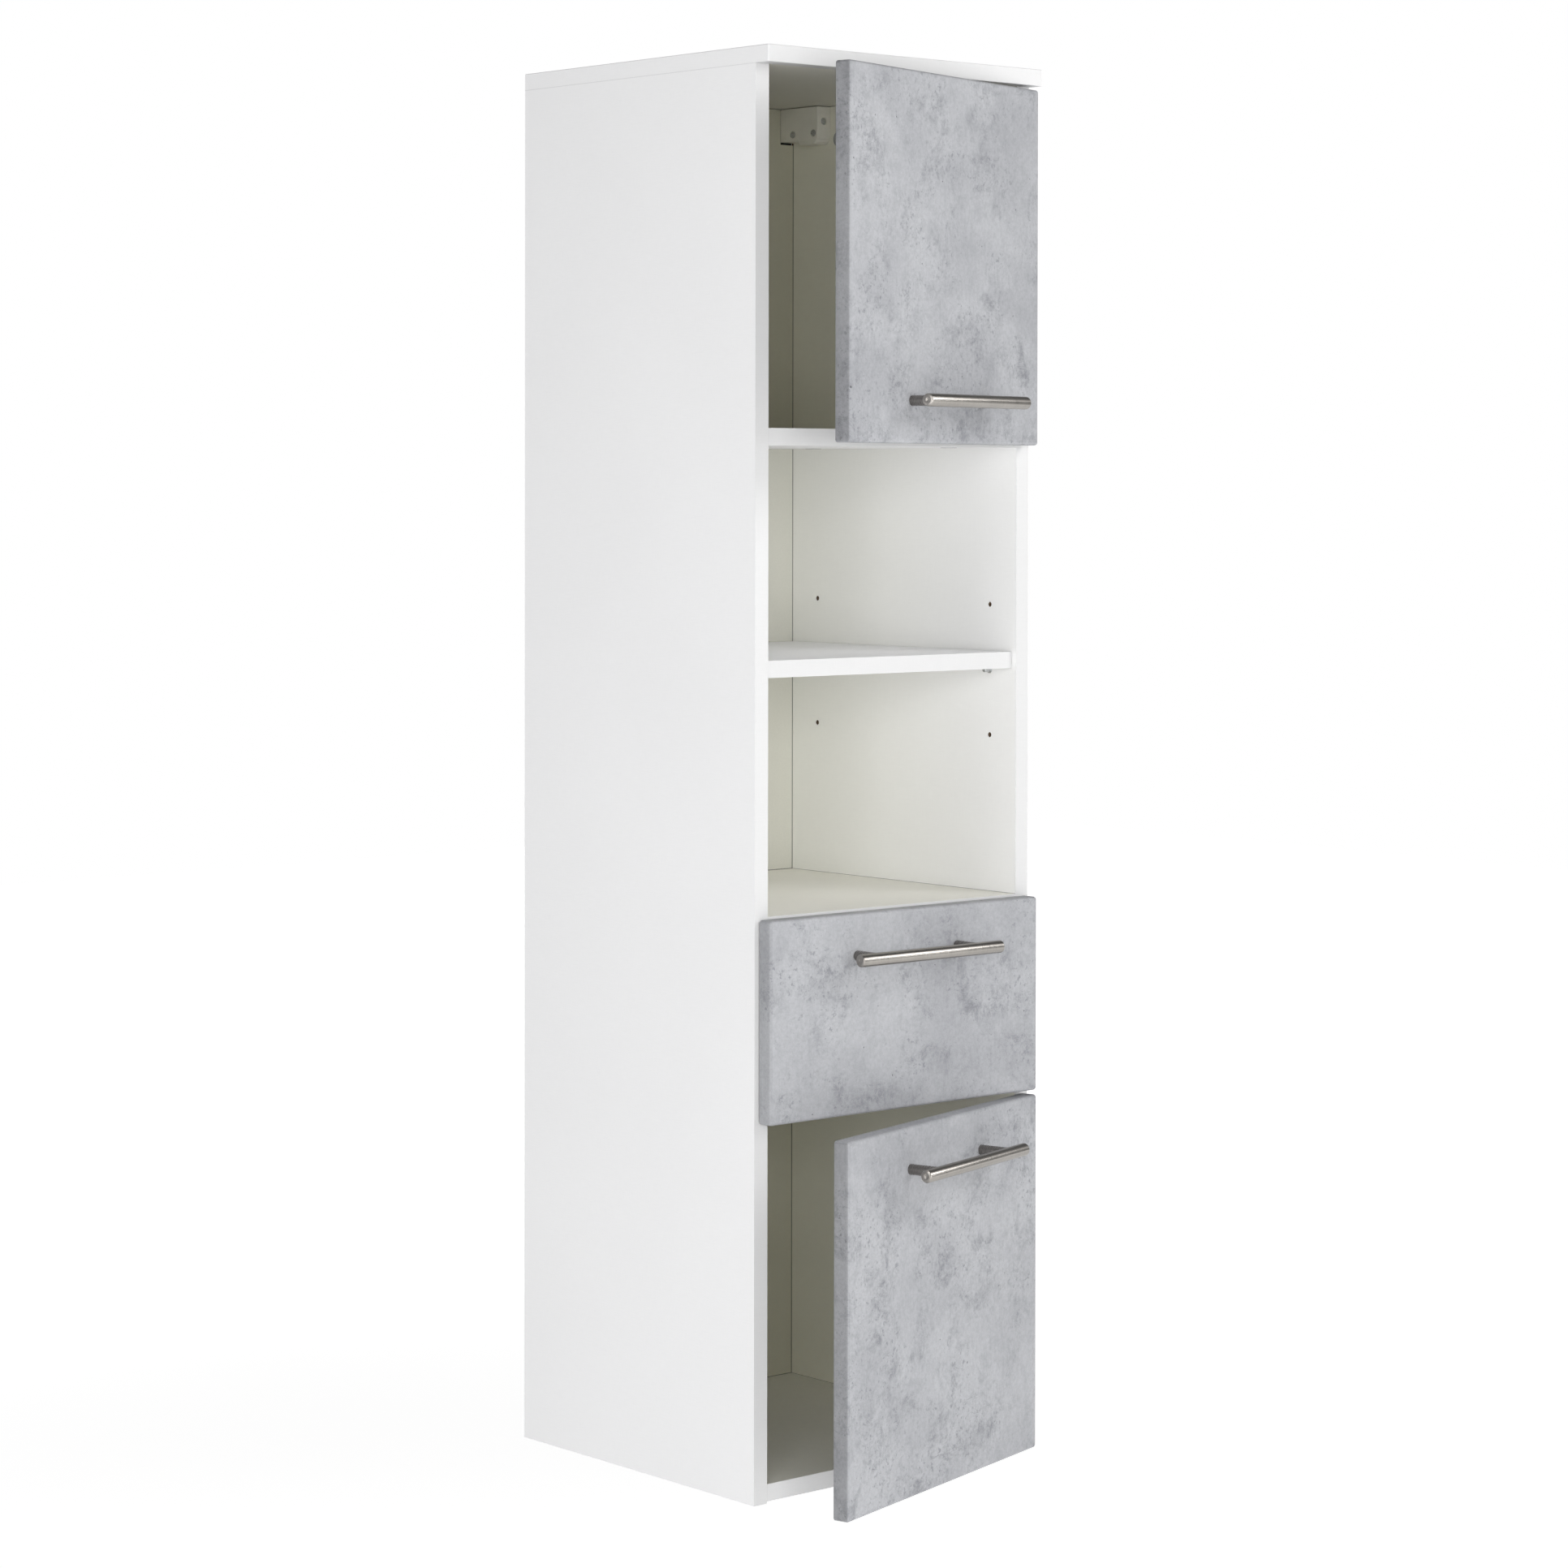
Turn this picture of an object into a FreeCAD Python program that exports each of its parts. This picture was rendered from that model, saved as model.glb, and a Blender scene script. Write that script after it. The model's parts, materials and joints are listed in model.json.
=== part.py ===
# Tall wall-hung bathroom cabinet: a door above, an open niche, a drawer and a door below.
# Millimetres. X runs to the right, Y towards the wall and Z up. Every piece is drawn in the
# cabinet frame, whose zero is the lower front outer corner of the left side panel, with the
# doors shut. The finished pieces are then shifted so that the origin is the middle of the
# wall rail's screw holes, on the wall, and the door pieces are swung ajar about their hinges.
import FreeCAD, Part
import Sketcher
import os
import re

# Driving sizes: name, amount in millimetres or degrees, meaning
SIZES = (
    ("cabinet_width", 350, "outside width over the side panels"),
    ("cabinet_height", 1345, "height to the top face of the top panel"),
    ("side_depth", 350, "side panels from front edge to rear edge"),
    ("board_thickness", 16, "melamine board of the cabinet"),
    ("front_thickness", 16, "doors and drawer front"),
    ("front_gap", 2, "between the side panels and the backs of the fronts"),
    ("front_reveal", 4, "fronts in from the outside of the cabinet, each side"),
    ("front_rounding", 1.6, "rounding round the face of each front"),
    ("board_bevel", 0.5, "bevel on the edging of the top panel"),
    ("bottom_lift", 2, "bottom panel above the side panels' lower edges"),
    ("niche_floor_top", 543, "floor of the open niche"),
    ("shelf_drop", 2, "fixed shelf over the niche below the upper door's lower edge"),
    ("lower_door_under", 3, "lower edge of the lower door"),
    ("door_height", 345, "both doors"),
    ("top_seam", 4, "between the top panel and the upper door"),
    ("drawer_drop", 2, "top of the drawer front below the niche floor"),
    ("drawer_front_height", 188.5, "drawer front"),
    ("back_recess", 15, "back panel in from the rear edges, for the wall rail"),
    ("back_thickness", 3, "hardboard back panel"),
    ("groove_depth", 6, "grooves that hold the back panel"),
    ("groove_play", 0.15, "back panel in its grooves, each face"),
    ("groove_end_play", 0.5, "edge of the back panel to the bottom of its groove"),
    ("bore_play", 0.1, "fittings in their bores, each side"),
    ("cam_radius", 7.5, "cam lock"),
    ("cam_depth", 12.5, "cam lock"),
    ("cam_inset", 34, "cam lock from the end of its board"),
    ("bolt_radius", 3, "cam bolt"),
    ("bolt_sink", 10.5, "cam bolt in the board across"),
    ("bolt_bore_radius", 4, "bore for the cam bolt in its own board"),
    ("dowel_radius", 4, "wooden dowel"),
    ("dowel_length", 30, "wooden dowel"),
    ("dowel_sink", 10, "dowel in the board across"),
    ("dowel_step", 32, "dowel behind the front cam bolt"),
    ("fitting_front_y", 60, "front row of cam locks"),
    ("fitting_rear_inset", 89, "rear row of cam locks from the rear edges"),
    ("pin_column_y", 37, "front column of shelf pin holes"),
    ("pin_column_step", 256, "between the two columns of shelf pin holes"),
    ("pin_row_step", 64, "between rows of shelf pin holes"),
    ("pin_radius", 2.5, "shelf pin"),
    ("pin_sink", 8, "shelf pin in the side panel"),
    ("pin_reach", 8, "shelf pin under the shelf"),
    ("pin_collar_radius", 3.6, "shelf pin collar"),
    ("pin_collar", 0.8, "thickness of the collar"),
    ("shelf_setback", 5.5, "adjustable shelf behind the side panels' front edges"),
    ("shelf_play", 1, "adjustable shelf to each side panel"),
    ("shelf_rear_play", 1, "adjustable shelf to the back panel"),
    ("hanger_thickness", 18, "hanger housing out from the side panel"),
    ("hanger_depth", 57.5, "hanger housing from front to rear"),
    ("hanger_height", 34.5, "hanger housing below the top panel"),
    ("hanger_rear_play", 0.5, "hanger housing to the back panel"),
    ("hanger_foot", 4.5, "foot of the housing below its body"),
    ("hanger_foot_front", 2, "foot in from the front of the housing"),
    ("hanger_foot_depth", 28, "foot from front to rear"),
    ("hanger_bevel", 3, "bevels on the foot"),
    ("hanger_slot_half", 1.4, "half the slot that the hook slides in"),
    ("hanger_screw_radius", 3.4, "screws in the hanger housing"),
    ("hanger_screw_bore", 2.4, "bore in the housing for its fixing screws"),
    ("hanger_screw_shank", 2, "fixing screws"),
    ("hanger_screw_length", 12, "fixing screws in the side panel"),
    ("hanger_screw_head", 1.2, "fixing screw heads"),
    ("hanger_screw_drop", 27.7, "fixing screws below the top panel"),
    ("hanger_screw_front", 6, "front fixing screw from the front of the housing"),
    ("hanger_screw_step", 32, "between the fixing screws"),
    ("adjuster_drop", 15.5, "adjusting screw below the top panel"),
    ("adjuster_radius", 3.5, "adjusting screw"),
    ("adjuster_length", 8, "adjusting screw"),
    ("hook_half", 1.1, "half the thickness of the hook"),
    ("hook_front_inset", 12, "front of the hook in the housing"),
    ("hook_rise", 7, "height of the hook's bridge over the rail"),
    ("hook_tail", 9, "hook inside its housing below the bridge"),
    ("hook_tail_depth", 26, "tail of the hook from front to rear"),
    ("hook_tip_thickness", 3, "tip of the hook behind the rail's lip"),
    ("hook_tip_drop", 8.5, "tip of the hook below the top of the rail"),
    ("hook_play", 0.3, "hook over the rail"),
    ("notch_width", 17.5, "notch in the back panel behind each hanger"),
    ("notch_height", 36.5, "notch in the back panel behind each hanger"),
    ("rail_drop", 15, "top of the wall rail below the top panel"),
    ("rail_lip", 10, "lip of the wall rail"),
    ("rail_web", 24, "part of the wall rail that lies on the wall"),
    ("rail_thickness", 2, "steel of the wall rail"),
    ("rail_offset", 6, "space behind the rail's lip"),
    ("rail_end_play", 4, "wall rail to each side panel"),
    ("rail_hole_radius", 3, "screw holes of the wall rail"),
    ("rail_hole_step", 224, "between the screw holes of the wall rail"),
    ("ajar_angle", 15.8, "how far the doors stand open at rest"),
    ("pivot_inset", 5, "hinge axis in from the hinged edge of the door"),
    ("pivot_sink", 9, "hinge axis behind the back face of the door"),
    ("hinge_inset", 90, "middle of each hinge from the end of its door"),
    ("cup_radius", 17.5, "hinge cup"),
    ("cup_edge", 3, "hinge cup from the edge of the door"),
    ("cup_depth", 12.4, "hinge cup"),
    ("cup_wall", 1.1, "walls of the hinge cup"),
    ("cup_play", 0.1, "hinge cup in its bore"),
    ("ear_half", 8, "half the height of the cup's pin housing"),
    ("ear_reach", 3.2, "cup's pin housing beyond the hinge axis"),
    ("ear_wall", 0.8, "end wall of the cup's pin housing"),
    ("knuckle_half", 5, "half the height of the arm's knuckle"),
    ("knuckle_radius", 2.1, "knuckle of the arm"),
    ("knuckle_play", 0.2, "knuckle between the ears, each side"),
    ("hinge_pin_radius", 1.25, "hinge pin"),
    ("hinge_pin_half", 7.5, "half the length of the hinge pin"),
    ("hinge_pin_play", 0.05, "hinge pin in the knuckle"),
    ("flange_thickness", 1.2, "flange of the hinge cup on the door"),
    ("flange_half", 29, "half the height of the flange"),
    ("flange_width", 27, "width of the flange"),
    ("flange_edge", 6, "flange from the edge of the door"),
    ("cup_screw_step", 24, "cup screws above and below the cup"),
    ("cup_screw_shank", 1.8, "cup screws"),
    ("cup_screw_length", 10, "cup screws in the door"),
    ("cup_screw_radius", 3.2, "cup screw heads"),
    ("cup_screw_head", 1.5, "cup screw heads"),
    ("screw_play", 0.1, "screws in the holes of metal parts"),
    ("arm_stand", 12.5, "outer face of the hinge arm from the side panel"),
    ("arm_strap", 2.2, "strap of the hinge arm"),
    ("foot_half", 1.1, "half the thickness of the arm's foot"),
    ("arm_wall", 1.5, "walls of the arm's channel"),
    ("arm_front_y", 10, "front of the arm's channel"),
    ("arm_length", 52, "arm's channel"),
    ("arm_half", 8, "half the height of the arm's channel"),
    ("strap_overlap", 6, "strap welded along the channel"),
    ("plate_rib_half", 6.3, "half the height of the plate's rib"),
    ("plate_play", 0.25, "hinge arm on its plate"),
    ("plate_base", 1.5, "wings of the hinge plate"),
    ("plate_wing_half", 24, "half the height of the wings"),
    ("plate_wing_depth", 18, "wings from front to rear"),
    ("plate_screw_step", 16, "plate screws above and below the arm"),
    ("plate_screw_radius", 3.6, "plate screw heads"),
    ("plate_screw_head", 1.6, "plate screw heads"),
    ("plate_screw_shank", 2.2, "plate screws"),
    ("plate_screw_length", 12, "plate screws in the side panel"),
    ("bumper_radius", 4.5, "felt bumpers on the doors"),
    ("bumper_thickness", 1.7, "felt bumpers on the doors"),
    ("bumper_inset", 8, "bumpers from the free edge of the door"),
    ("bumper_rise", 14, "bumpers from the ends of the door"),
    ("handle_radius", 6, "bar of a handle"),
    ("handle_length", 180, "bar of a handle"),
    ("handle_bevel", 1, "bevel on the ends of the bar"),
    ("handle_stand", 32.8, "middle of the bar from the face of the front"),
    ("handle_step", 128, "between the two posts of a handle"),
    ("handle_inset", 39.5, "handle from the edge of its front"),
    ("post_radius", 5, "post of a handle"),
    ("handle_screw_radius", 2, "screws of the handles"),
    ("handle_screw_play", 0.3, "handle screws in the fronts"),
    ("handle_screw_bite", 12, "handle screws in the posts"),
    ("handle_head_radius", 4, "heads of the handle screws"),
    ("handle_head_height", 2.3, "heads of the handle screws"),
    ("runner_under", 372, "underside of the runners"),
    ("runner_height", 25, "cabinet half of a runner"),
    ("runner_reach", 10.2, "cabinet half of a runner out from the side panel"),
    ("runner_steel", 1.2, "steel of the runners"),
    ("runner_length", 300, "runners"),
    ("runner_front_y", 4, "front end of the cabinet halves"),
    ("drawer_side_space", 12.5, "side panel to drawer side"),
    ("drawer_side_thickness", 12, "sides and back of the drawer"),
    ("drawer_side_height", 110, "sides of the drawer"),
    ("drawer_side_rise", 6, "drawer sides above the underside of the runners"),
    ("drawer_depth", 298, "drawer sides"),
    ("drawer_back_drop", 12, "drawer back below the top of the sides"),
    ("drawer_bottom_rise", 8, "drawer bottom above the lower edges of the sides"),
    ("drawer_groove", 5, "groove for the drawer bottom"),
    ("runner_lip", 10, "drawer half of a runner under the drawer side"),
    ("roller_radius", 9, "rollers of the runners"),
    ("roller_width", 6.6, "rollers of the runners"),
    ("roller_play", 0.3, "rollers to the steel that they run on"),
    ("roller_side_play", 1, "rollers to the steel beside them"),
    ("axle_radius", 2.2, "axles of the rollers"),
    ("axle_play", 0.08, "rollers on their axles"),
    ("axle_head_radius", 3.6, "heads of the axles"),
    ("axle_head", 0.6, "heads of the axles"),
    ("roller_front_inset", 11, "front rollers from the front end of the runners"),
    ("roller_rear_inset", 10, "rear rollers from the rear end of the drawer"),
    ("runner_screw_radius", 3, "heads of the runner screws"),
    ("runner_screw_head", 0.8, "heads of the runner screws"),
    ("runner_screw_shank", 1.8, "runner screws"),
    ("runner_screw_length", 11, "runner screws in the side panel"),
    ("runner_screw_rise", 18.3, "runner screws above the underside"),
    ("runner_screw_inset", 33, "runner screws from the ends of the runner"),
)

# Sizes that follow from the driving ones
DERIVED = (
    ("inner_right_x", "=cabinet_width - board_thickness", "inner face of the right side panel"),
    ("side_height", "=cabinet_height - board_thickness", "side panels, up to the top panel"),
    ("back_rear_y", "=side_depth - back_recess", "rear face of the back panel"),
    ("back_front_y", "=back_rear_y - back_thickness", "front face of the back panel"),
    ("front_back_y", "=0 - front_gap", "back faces of the fronts"),
    ("front_face_y", "=front_back_y - front_thickness", "faces of the fronts"),
    ("front_right_x", "=cabinet_width - front_reveal", "right edges of the fronts"),
    ("front_middle_x", "=cabinet_width / 2", "middle of the fronts"),
    ("niche_floor_under", "=niche_floor_top - board_thickness", "underside of the niche floor"),
    ("fitting_rear_y", "=side_depth - fitting_rear_inset", "rear row of cam locks"),
    ("upper_door_top", "=side_height - top_seam", "upper edge of the upper door"),
    ("upper_door_under", "=upper_door_top - door_height", "lower edge of the upper door"),
    ("upper_shelf_under", "=upper_door_under - shelf_drop", "underside of the fixed shelf"),
    ("lower_door_top", "=lower_door_under + door_height", "upper edge of the lower door"),
    ("drawer_front_top", "=niche_floor_top - drawer_drop", "upper edge of the drawer front"),
    ("drawer_front_under", "=drawer_front_top - drawer_front_height", "its lower edge"),
    ("pin_row_z", "=(niche_floor_top + upper_shelf_under) / 2", "row of shelf pins in use"),
    ("shelf_under", "=pin_row_z + pin_radius", "underside of the adjustable shelf"),
    ("hanger_rear_y", "=back_front_y - hanger_rear_play", "rear of the hanger housings"),
    ("hanger_front_y", "=hanger_rear_y - hanger_depth", "front of the hanger housings"),
    ("hanger_under", "=side_height - hanger_height", "underside of the hanger housings"),
    ("rail_top", "=side_height - rail_drop", "top of the wall rail"),
    ("rail_step_z", "=rail_top - rail_lip", "top of the rail's step"),
    ("rail_under", "=rail_step_z - rail_web", "lower edge of the wall rail"),
    ("rail_hole_z", "=rail_step_z - rail_thickness - (rail_web - rail_thickness) / 2",
     "middle of the rail's flat web"),
    ("lip_rear_y", "=side_depth - rail_offset", "rear face of the rail's lip"),
    ("pivot_x", "=front_right_x - pivot_inset", "hinge axis"),
    ("pivot_y", "=front_back_y - pivot_sink", "hinge axis"),
    ("cup_x", "=front_right_x - cup_edge - cup_radius", "middle of the hinge cups"),
    ("strap_x", "=inner_right_x - arm_stand", "outer face of the hinge arms"),
    ("handle_bar_y", "=front_face_y - handle_stand", "middle of the handles' bars"),
    ("drawer_side_under", "=runner_under + drawer_side_rise", "lower edges of the drawer sides"),
    ("drawer_side_top", "=drawer_side_under + drawer_side_height", "upper edges"),
    ("drawer_rear_y", "=front_back_y + drawer_depth", "rear of the drawer"),
    ("drawer_bottom_under", "=drawer_side_under + drawer_bottom_rise", "drawer bottom"),
    ("roller_z", "=runner_under + runner_steel + roller_play + roller_radius", "rollers"),
    ("track_under", "=roller_z + roller_radius + roller_play", "track of the drawer half"),
    ("front_roller_y", "=runner_front_y + roller_front_inset", "front rollers"),
    ("rear_roller_y", "=drawer_rear_y - roller_rear_inset", "rear rollers"),
    ("origin_x", "=cabinet_width / 2", "origin of the part"),
    ("origin_y", "=side_depth", "origin of the part"),
    ("origin_z", "=rail_hole_z", "origin of the part"),
)

# A frame gives the X and Y of the line that a piece is drawn from
FIXED = ("0", "0")
HINGED = ("pivot_x", "pivot_y")

NAME = re.compile(r"\b[a-z]+(?:_[a-z]+)+\b")
# Small or hidden fittings and their bores have flat sides, which keeps the meshes light
HEX, OCTAGON, HEXADECAGON = "hexagon", "octagon", "hexadecagon"
SIDE_COUNT = {HEX: 6, OCTAGON: 8, HEXADECAGON: 16}

TOWARDS = {
    "+x": FreeCAD.Vector(1, 0, 0), "-x": FreeCAD.Vector(-1, 0, 0),
    "+y": FreeCAD.Vector(0, 1, 0), "-y": FreeCAD.Vector(0, -1, 0),
    "+z": FreeCAD.Vector(0, 0, 1), "-z": FreeCAD.Vector(0, 0, -1),
}

doc = FreeCAD.newDocument("bathroom_cabinet")
sheet = doc.addObject("Spreadsheet::Sheet", "Sizes")
pieces = []


def fill_sheet():
    for row, (name, amount, meaning) in enumerate(SIZES + DERIVED, 1):
        sheet.set("A%d" % row, meaning)
        sheet.set("B%d" % row, str(amount))
        sheet.setAlias("B%d" % row, name)
    doc.recompute()


def amount_of(formula):
    numbers = NAME.sub(lambda found: "(%r)" % sheet.get(found.group()), formula)
    return FreeCAD.Units.parseQuantity(numbers).Value


def bind(item, property_name, formula):
    item.setExpression(property_name, NAME.sub(r"Sizes.\g<0>", formula))


def less(formula, offset):
    return formula if offset == "0" else "(%s) - %s" % (formula, offset)


def set_down(item, x, y, z, direction="+z"):
    item.Placement = FreeCAD.Placement(
        FreeCAD.Vector(), FreeCAD.Rotation(TOWARDS["+z"], TOWARDS[direction]))
    for axis, formula in zip("xyz", (x, y, z)):
        bind(item, "Placement.Base." + axis, formula)


def finish(item, label, frame=FIXED):
    """Name a finished piece and put it in the part's frame, ajar if it is on a door."""
    item.Label = label
    item.Placement = FreeCAD.Placement(
        FreeCAD.Vector(), FreeCAD.Rotation(TOWARDS["+z"], sheet.get("ajar_angle")))
    bind(item, "Placement.Rotation.Angle", "ajar_angle" if frame is HINGED else "0")
    bind(item, "Placement.Base.x", "%s - origin_x" % frame[0])
    bind(item, "Placement.Base.y", "%s - origin_y" % frame[1])
    bind(item, "Placement.Base.z", "0 - origin_z")
    pieces.append(item)
    return item


def block(x, y, z, frame=FIXED):
    """Box over three spans, each a pair of formulas."""
    item = doc.addObject("Part::Box", "block")
    low = (less(x[0], frame[0]), less(y[0], frame[1]), z[0])
    set_down(item, *low)
    for size, span in zip(("Length", "Width", "Height"), (x, y, z)):
        bind(item, size, "(%s) - (%s)" % (span[1], span[0]))
    return item


def rod(start, length, radius, direction, frame=FIXED):
    """Round rod from the middle of its first end."""
    item = doc.addObject("Part::Cylinder", "rod")
    set_down(item, less(start[0], frame[0]), less(start[1], frame[1]), start[2], direction)
    bind(item, "Radius", radius)
    bind(item, "Height", length)
    return item


def peg(start, length, radius, direction, outline, frame=FIXED):
    """Rod with flat sides, its radius measured over the corners."""
    item = doc.addObject("Part::Prism", "peg")
    set_down(item, less(start[0], frame[0]), less(start[1], frame[1]), start[2], direction)
    item.Polygon = SIDE_COUNT[outline]
    bind(item, "Circumradius", radius)
    bind(item, "Height", length)
    return item


def around_rod(radius, outline):
    """Radius over the corners of a flat-sided bore that a round rod just fits."""
    return "(%s) / cos(180 / %d)" % (radius, SIDE_COUNT[outline])


def fused(shapes):
    item = doc.addObject("Part::MultiFuse", "fused")
    item.Shapes = shapes
    return item


def cut(base, tools):
    item = doc.addObject("Part::Cut", "cut")
    item.Base = base
    item.Tool = tools[0] if len(tools) == 1 else fused(tools)
    return item


def group(shapes):
    item = doc.addObject("Part::Compound", "group")
    item.Links = shapes
    return item


def rectangle(u, v):
    return ((u[0], v[0]), (u[1], v[0]), (u[1], v[1]), (u[0], v[1]))


def offsets(plane, frame):
    """What the frame takes off a sketch's two axes and off the height of its plane."""
    x, y = frame
    return {"XY": (x, y, "0"), "YZ": (y, "0", x), "XZ": (x, "0", y)}[plane]


def sketch_on(body, plane, height, frame):
    sketch = body.newObject("Sketcher::SketchObject", "sketch")
    base = [f for f in body.Origin.OriginFeatures if f.Role == plane + "_Plane"][0]
    sketch.AttachmentSupport = [(base, "")]
    sketch.MapMode = "FlatFace"
    lift = less(height, offsets(plane, frame)[2])
    bind(sketch, "AttachmentOffset.Base.z", "-(%s)" % lift if plane == "XZ" else lift)
    return sketch


def dimension(sketch, geometry, point, u, v):
    for kind, formula in (("DistanceX", u), ("DistanceY", v)):
        number = sketch.addConstraint(
            Sketcher.Constraint(kind, -1, 1, geometry, point, amount_of(formula)))
        bind(sketch, "Constraints[%d]" % number, formula)


def draw_outline(sketch, plane, corners, frame):
    """Closed outline of straight lines, each corner dimensioned from the sketch's zero."""
    off_u, off_v, height = offsets(plane, frame)
    corners = [(less(u, off_u), less(v, off_v)) for u, v in corners]
    spots = [FreeCAD.Vector(amount_of(u), amount_of(v), 0) for u, v in corners]
    first = sketch.GeometryCount
    count = len(corners)
    for here in range(count):
        sketch.addGeometry(Part.LineSegment(spots[here], spots[(here + 1) % count]))
    for here in range(count):
        follower = first + (here + 1) % count
        sketch.addConstraint(Sketcher.Constraint("Coincident", first + here, 2, follower, 1))
    for here, (u, v) in enumerate(corners):
        dimension(sketch, first + here, 1, u, v)


def draw_polygon(sketch, plane, centre, radius, outline, frame):
    """Regular outline whose first corner is where a peg along that axis has one."""
    first = 90 if plane == "YZ" else 0
    count = SIDE_COUNT[outline]
    turns = [first + 360 / count * corner for corner in range(count)]
    corners = [("%s + (%s) * cos(%g)" % (centre[0], radius, turn),
                "%s + (%s) * sin(%g)" % (centre[1], radius, turn)) for turn in turns]
    draw_outline(sketch, plane, corners, frame)


def draw_circles(sketch, plane, centres, radius, frame):
    off_u, off_v, height = offsets(plane, frame)
    for u, v in centres:
        u, v = less(u, off_u), less(v, off_v)
        middle = FreeCAD.Vector(amount_of(u), amount_of(v), 0)
        circle = sketch.addGeometry(
            Part.Circle(middle, TOWARDS["+z"], amount_of(radius)))
        dimension(sketch, circle, 3, u, v)
        number = sketch.addConstraint(Sketcher.Constraint("Radius", circle, amount_of(radius)))
        bind(sketch, "Constraints[%d]" % number, radius)


def plate(plane, corners, low, high, frame=FIXED):
    """Body padded from low to high along the axis that the plane leaves out."""
    body = doc.addObject("PartDesign::Body", "body")
    sketch = sketch_on(body, plane, low, frame)
    draw_outline(sketch, plane, corners, frame)
    pad = body.newObject("PartDesign::Pad", "pad")
    pad.Profile = sketch
    pad.Reversed = plane == "XZ"
    bind(pad, "Length", "(%s) - (%s)" % (high, low))
    return body


def pocket(body, plane, sketch, depth, inward):
    """Cut a sketch into the body, with inward + or - along the axis that the plane leaves out."""
    item = body.newObject("PartDesign::Pocket", "pocket")
    item.Profile = sketch
    item.Reversed = (inward == "+") != (plane == "XZ")
    bind(item, "Length", depth)


def bores(body, plane, height, centres, radius, depth, inward, frame=FIXED):
    sketch = sketch_on(body, plane, height, frame)
    draw_circles(sketch, plane, centres, radius, frame)
    pocket(body, plane, sketch, depth, inward)


def flat_bores(body, plane, height, centres, radius, depth, inward, outline, frame=FIXED):
    sketch = sketch_on(body, plane, height, frame)
    for centre in centres:
        draw_polygon(sketch, plane, centre, radius, outline, frame)
    pocket(body, plane, sketch, depth, inward)


def recess(body, plane, height, corners, depth, inward, frame=FIXED):
    sketch = sketch_on(body, plane, height, frame)
    draw_outline(sketch, plane, corners, frame)
    pocket(body, plane, sketch, depth, inward)


def dress_edges(body, kind, property_name, size, wanted):
    """Fillet or chamfer the straight edges of a body that wanted() picks."""
    doc.recompute()
    tip = body.Tip
    names = ["Edge%d" % number for number, edge in enumerate(tip.Shape.Edges, 1)
             if isinstance(edge.Curve, Part.Line) and wanted(edge)]
    item = body.newObject("PartDesign::" + kind, "edges")
    item.Base = (tip, names)
    bind(item, property_name, size)


def turned(profile, start, direction, frame=FIXED):
    """Body turned about its own Z, from a half profile of radius and height pairs."""
    body = doc.addObject("PartDesign::Body", "turned")
    sketch = sketch_on(body, "XZ", "0", FIXED)
    draw_outline(sketch, "XZ", profile, FIXED)
    item = body.newObject("PartDesign::Revolution", "revolution")
    item.Profile = sketch
    item.ReferenceAxis = (sketch, ["V_Axis"])
    set_down(body, less(start[0], frame[0]), less(start[1], frame[1]), start[2], direction)
    return body


def screw(start, direction, shank, length, head_radius, head, frame=FIXED):
    """Screw from the top of its head at start, pointing in its direction."""
    return fused([peg(start, head, head_radius, direction, HEX, frame),
                  peg(start, "%s + %s" % (head, length), shank, direction, HEX, frame)])


def middle(low, high):
    return "(%s + %s) / 2" % (low, high)


# Boards that run across the cabinet: label, underside, upper side
CROSS_BOARDS = (
    ("bottom_panel", "bottom_lift", "bottom_lift + board_thickness"),
    ("niche_floor", "niche_floor_under", "niche_floor_top"),
    ("upper_fixed_shelf", "upper_shelf_under", "upper_shelf_under + board_thickness"),
)
FITTING_ROWS = ("fitting_front_y", "fitting_rear_y")
DOWEL_ROW = "fitting_front_y + dowel_step"
SIDES = (
    ("left", "0", "board_thickness", "board_thickness", "-", "+"),
    ("right", "inner_right_x", "cabinet_width", "inner_right_x", "+", "-"),
)
FREE_PIN_ROWS = ("pin_row_z - pin_row_step", "pin_row_z + pin_row_step")
PIN_COLUMNS = ("pin_column_y", "pin_column_y + pin_column_step")


def side_panels():
    for label, low, high, inner, inward, outward in SIDES:
        body = plate("YZ", rectangle(("0", "side_depth"), ("0", "side_height")), low, high)
        groove = ("back_front_y - groove_play", "back_rear_y + groove_play")
        recess(body, "YZ", inner, rectangle(groove, ("bottom_lift", "side_height")),
               "groove_depth", inward)
        bores(body, "YZ", inner, [(y, z) for y in PIN_COLUMNS for z in FREE_PIN_ROWS],
              "pin_radius", "pin_sink", inward)
        flat_bores(body, "YZ", inner, [(y, "pin_row_z") for y in PIN_COLUMNS],
                   "pin_radius", "pin_sink", inward, OCTAGON)
        flat_bores(body, "YZ", inner, [(y, "side_height - cam_inset") for y in FITTING_ROWS],
                   "cam_radius + bore_play", "cam_depth + bore_play", inward, OCTAGON)
        levels = [middle(under, upper) for board, under, upper in CROSS_BOARDS]
        flat_bores(body, "YZ", inner, [(y, z) for y in FITTING_ROWS for z in levels],
                   "bolt_radius", "bolt_sink", inward, HEX)
        flat_bores(body, "YZ", inner, [(DOWEL_ROW, z) for z in levels],
                   "dowel_radius + bore_play", "dowel_sink + bore_play", inward, HEX)
        across = middle(low, high)
        flat_bores(body, "XY", "side_height", [(across, y) for y in FITTING_ROWS],
                   "bolt_bore_radius", "cam_inset", "-", HEX)
        flat_bores(body, "XY", "side_height", [(across, DOWEL_ROW)],
                   "dowel_radius + bore_play", "dowel_length - dowel_sink + bore_play", "-", HEX)
        finish(body, label + "_side_panel")


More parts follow.
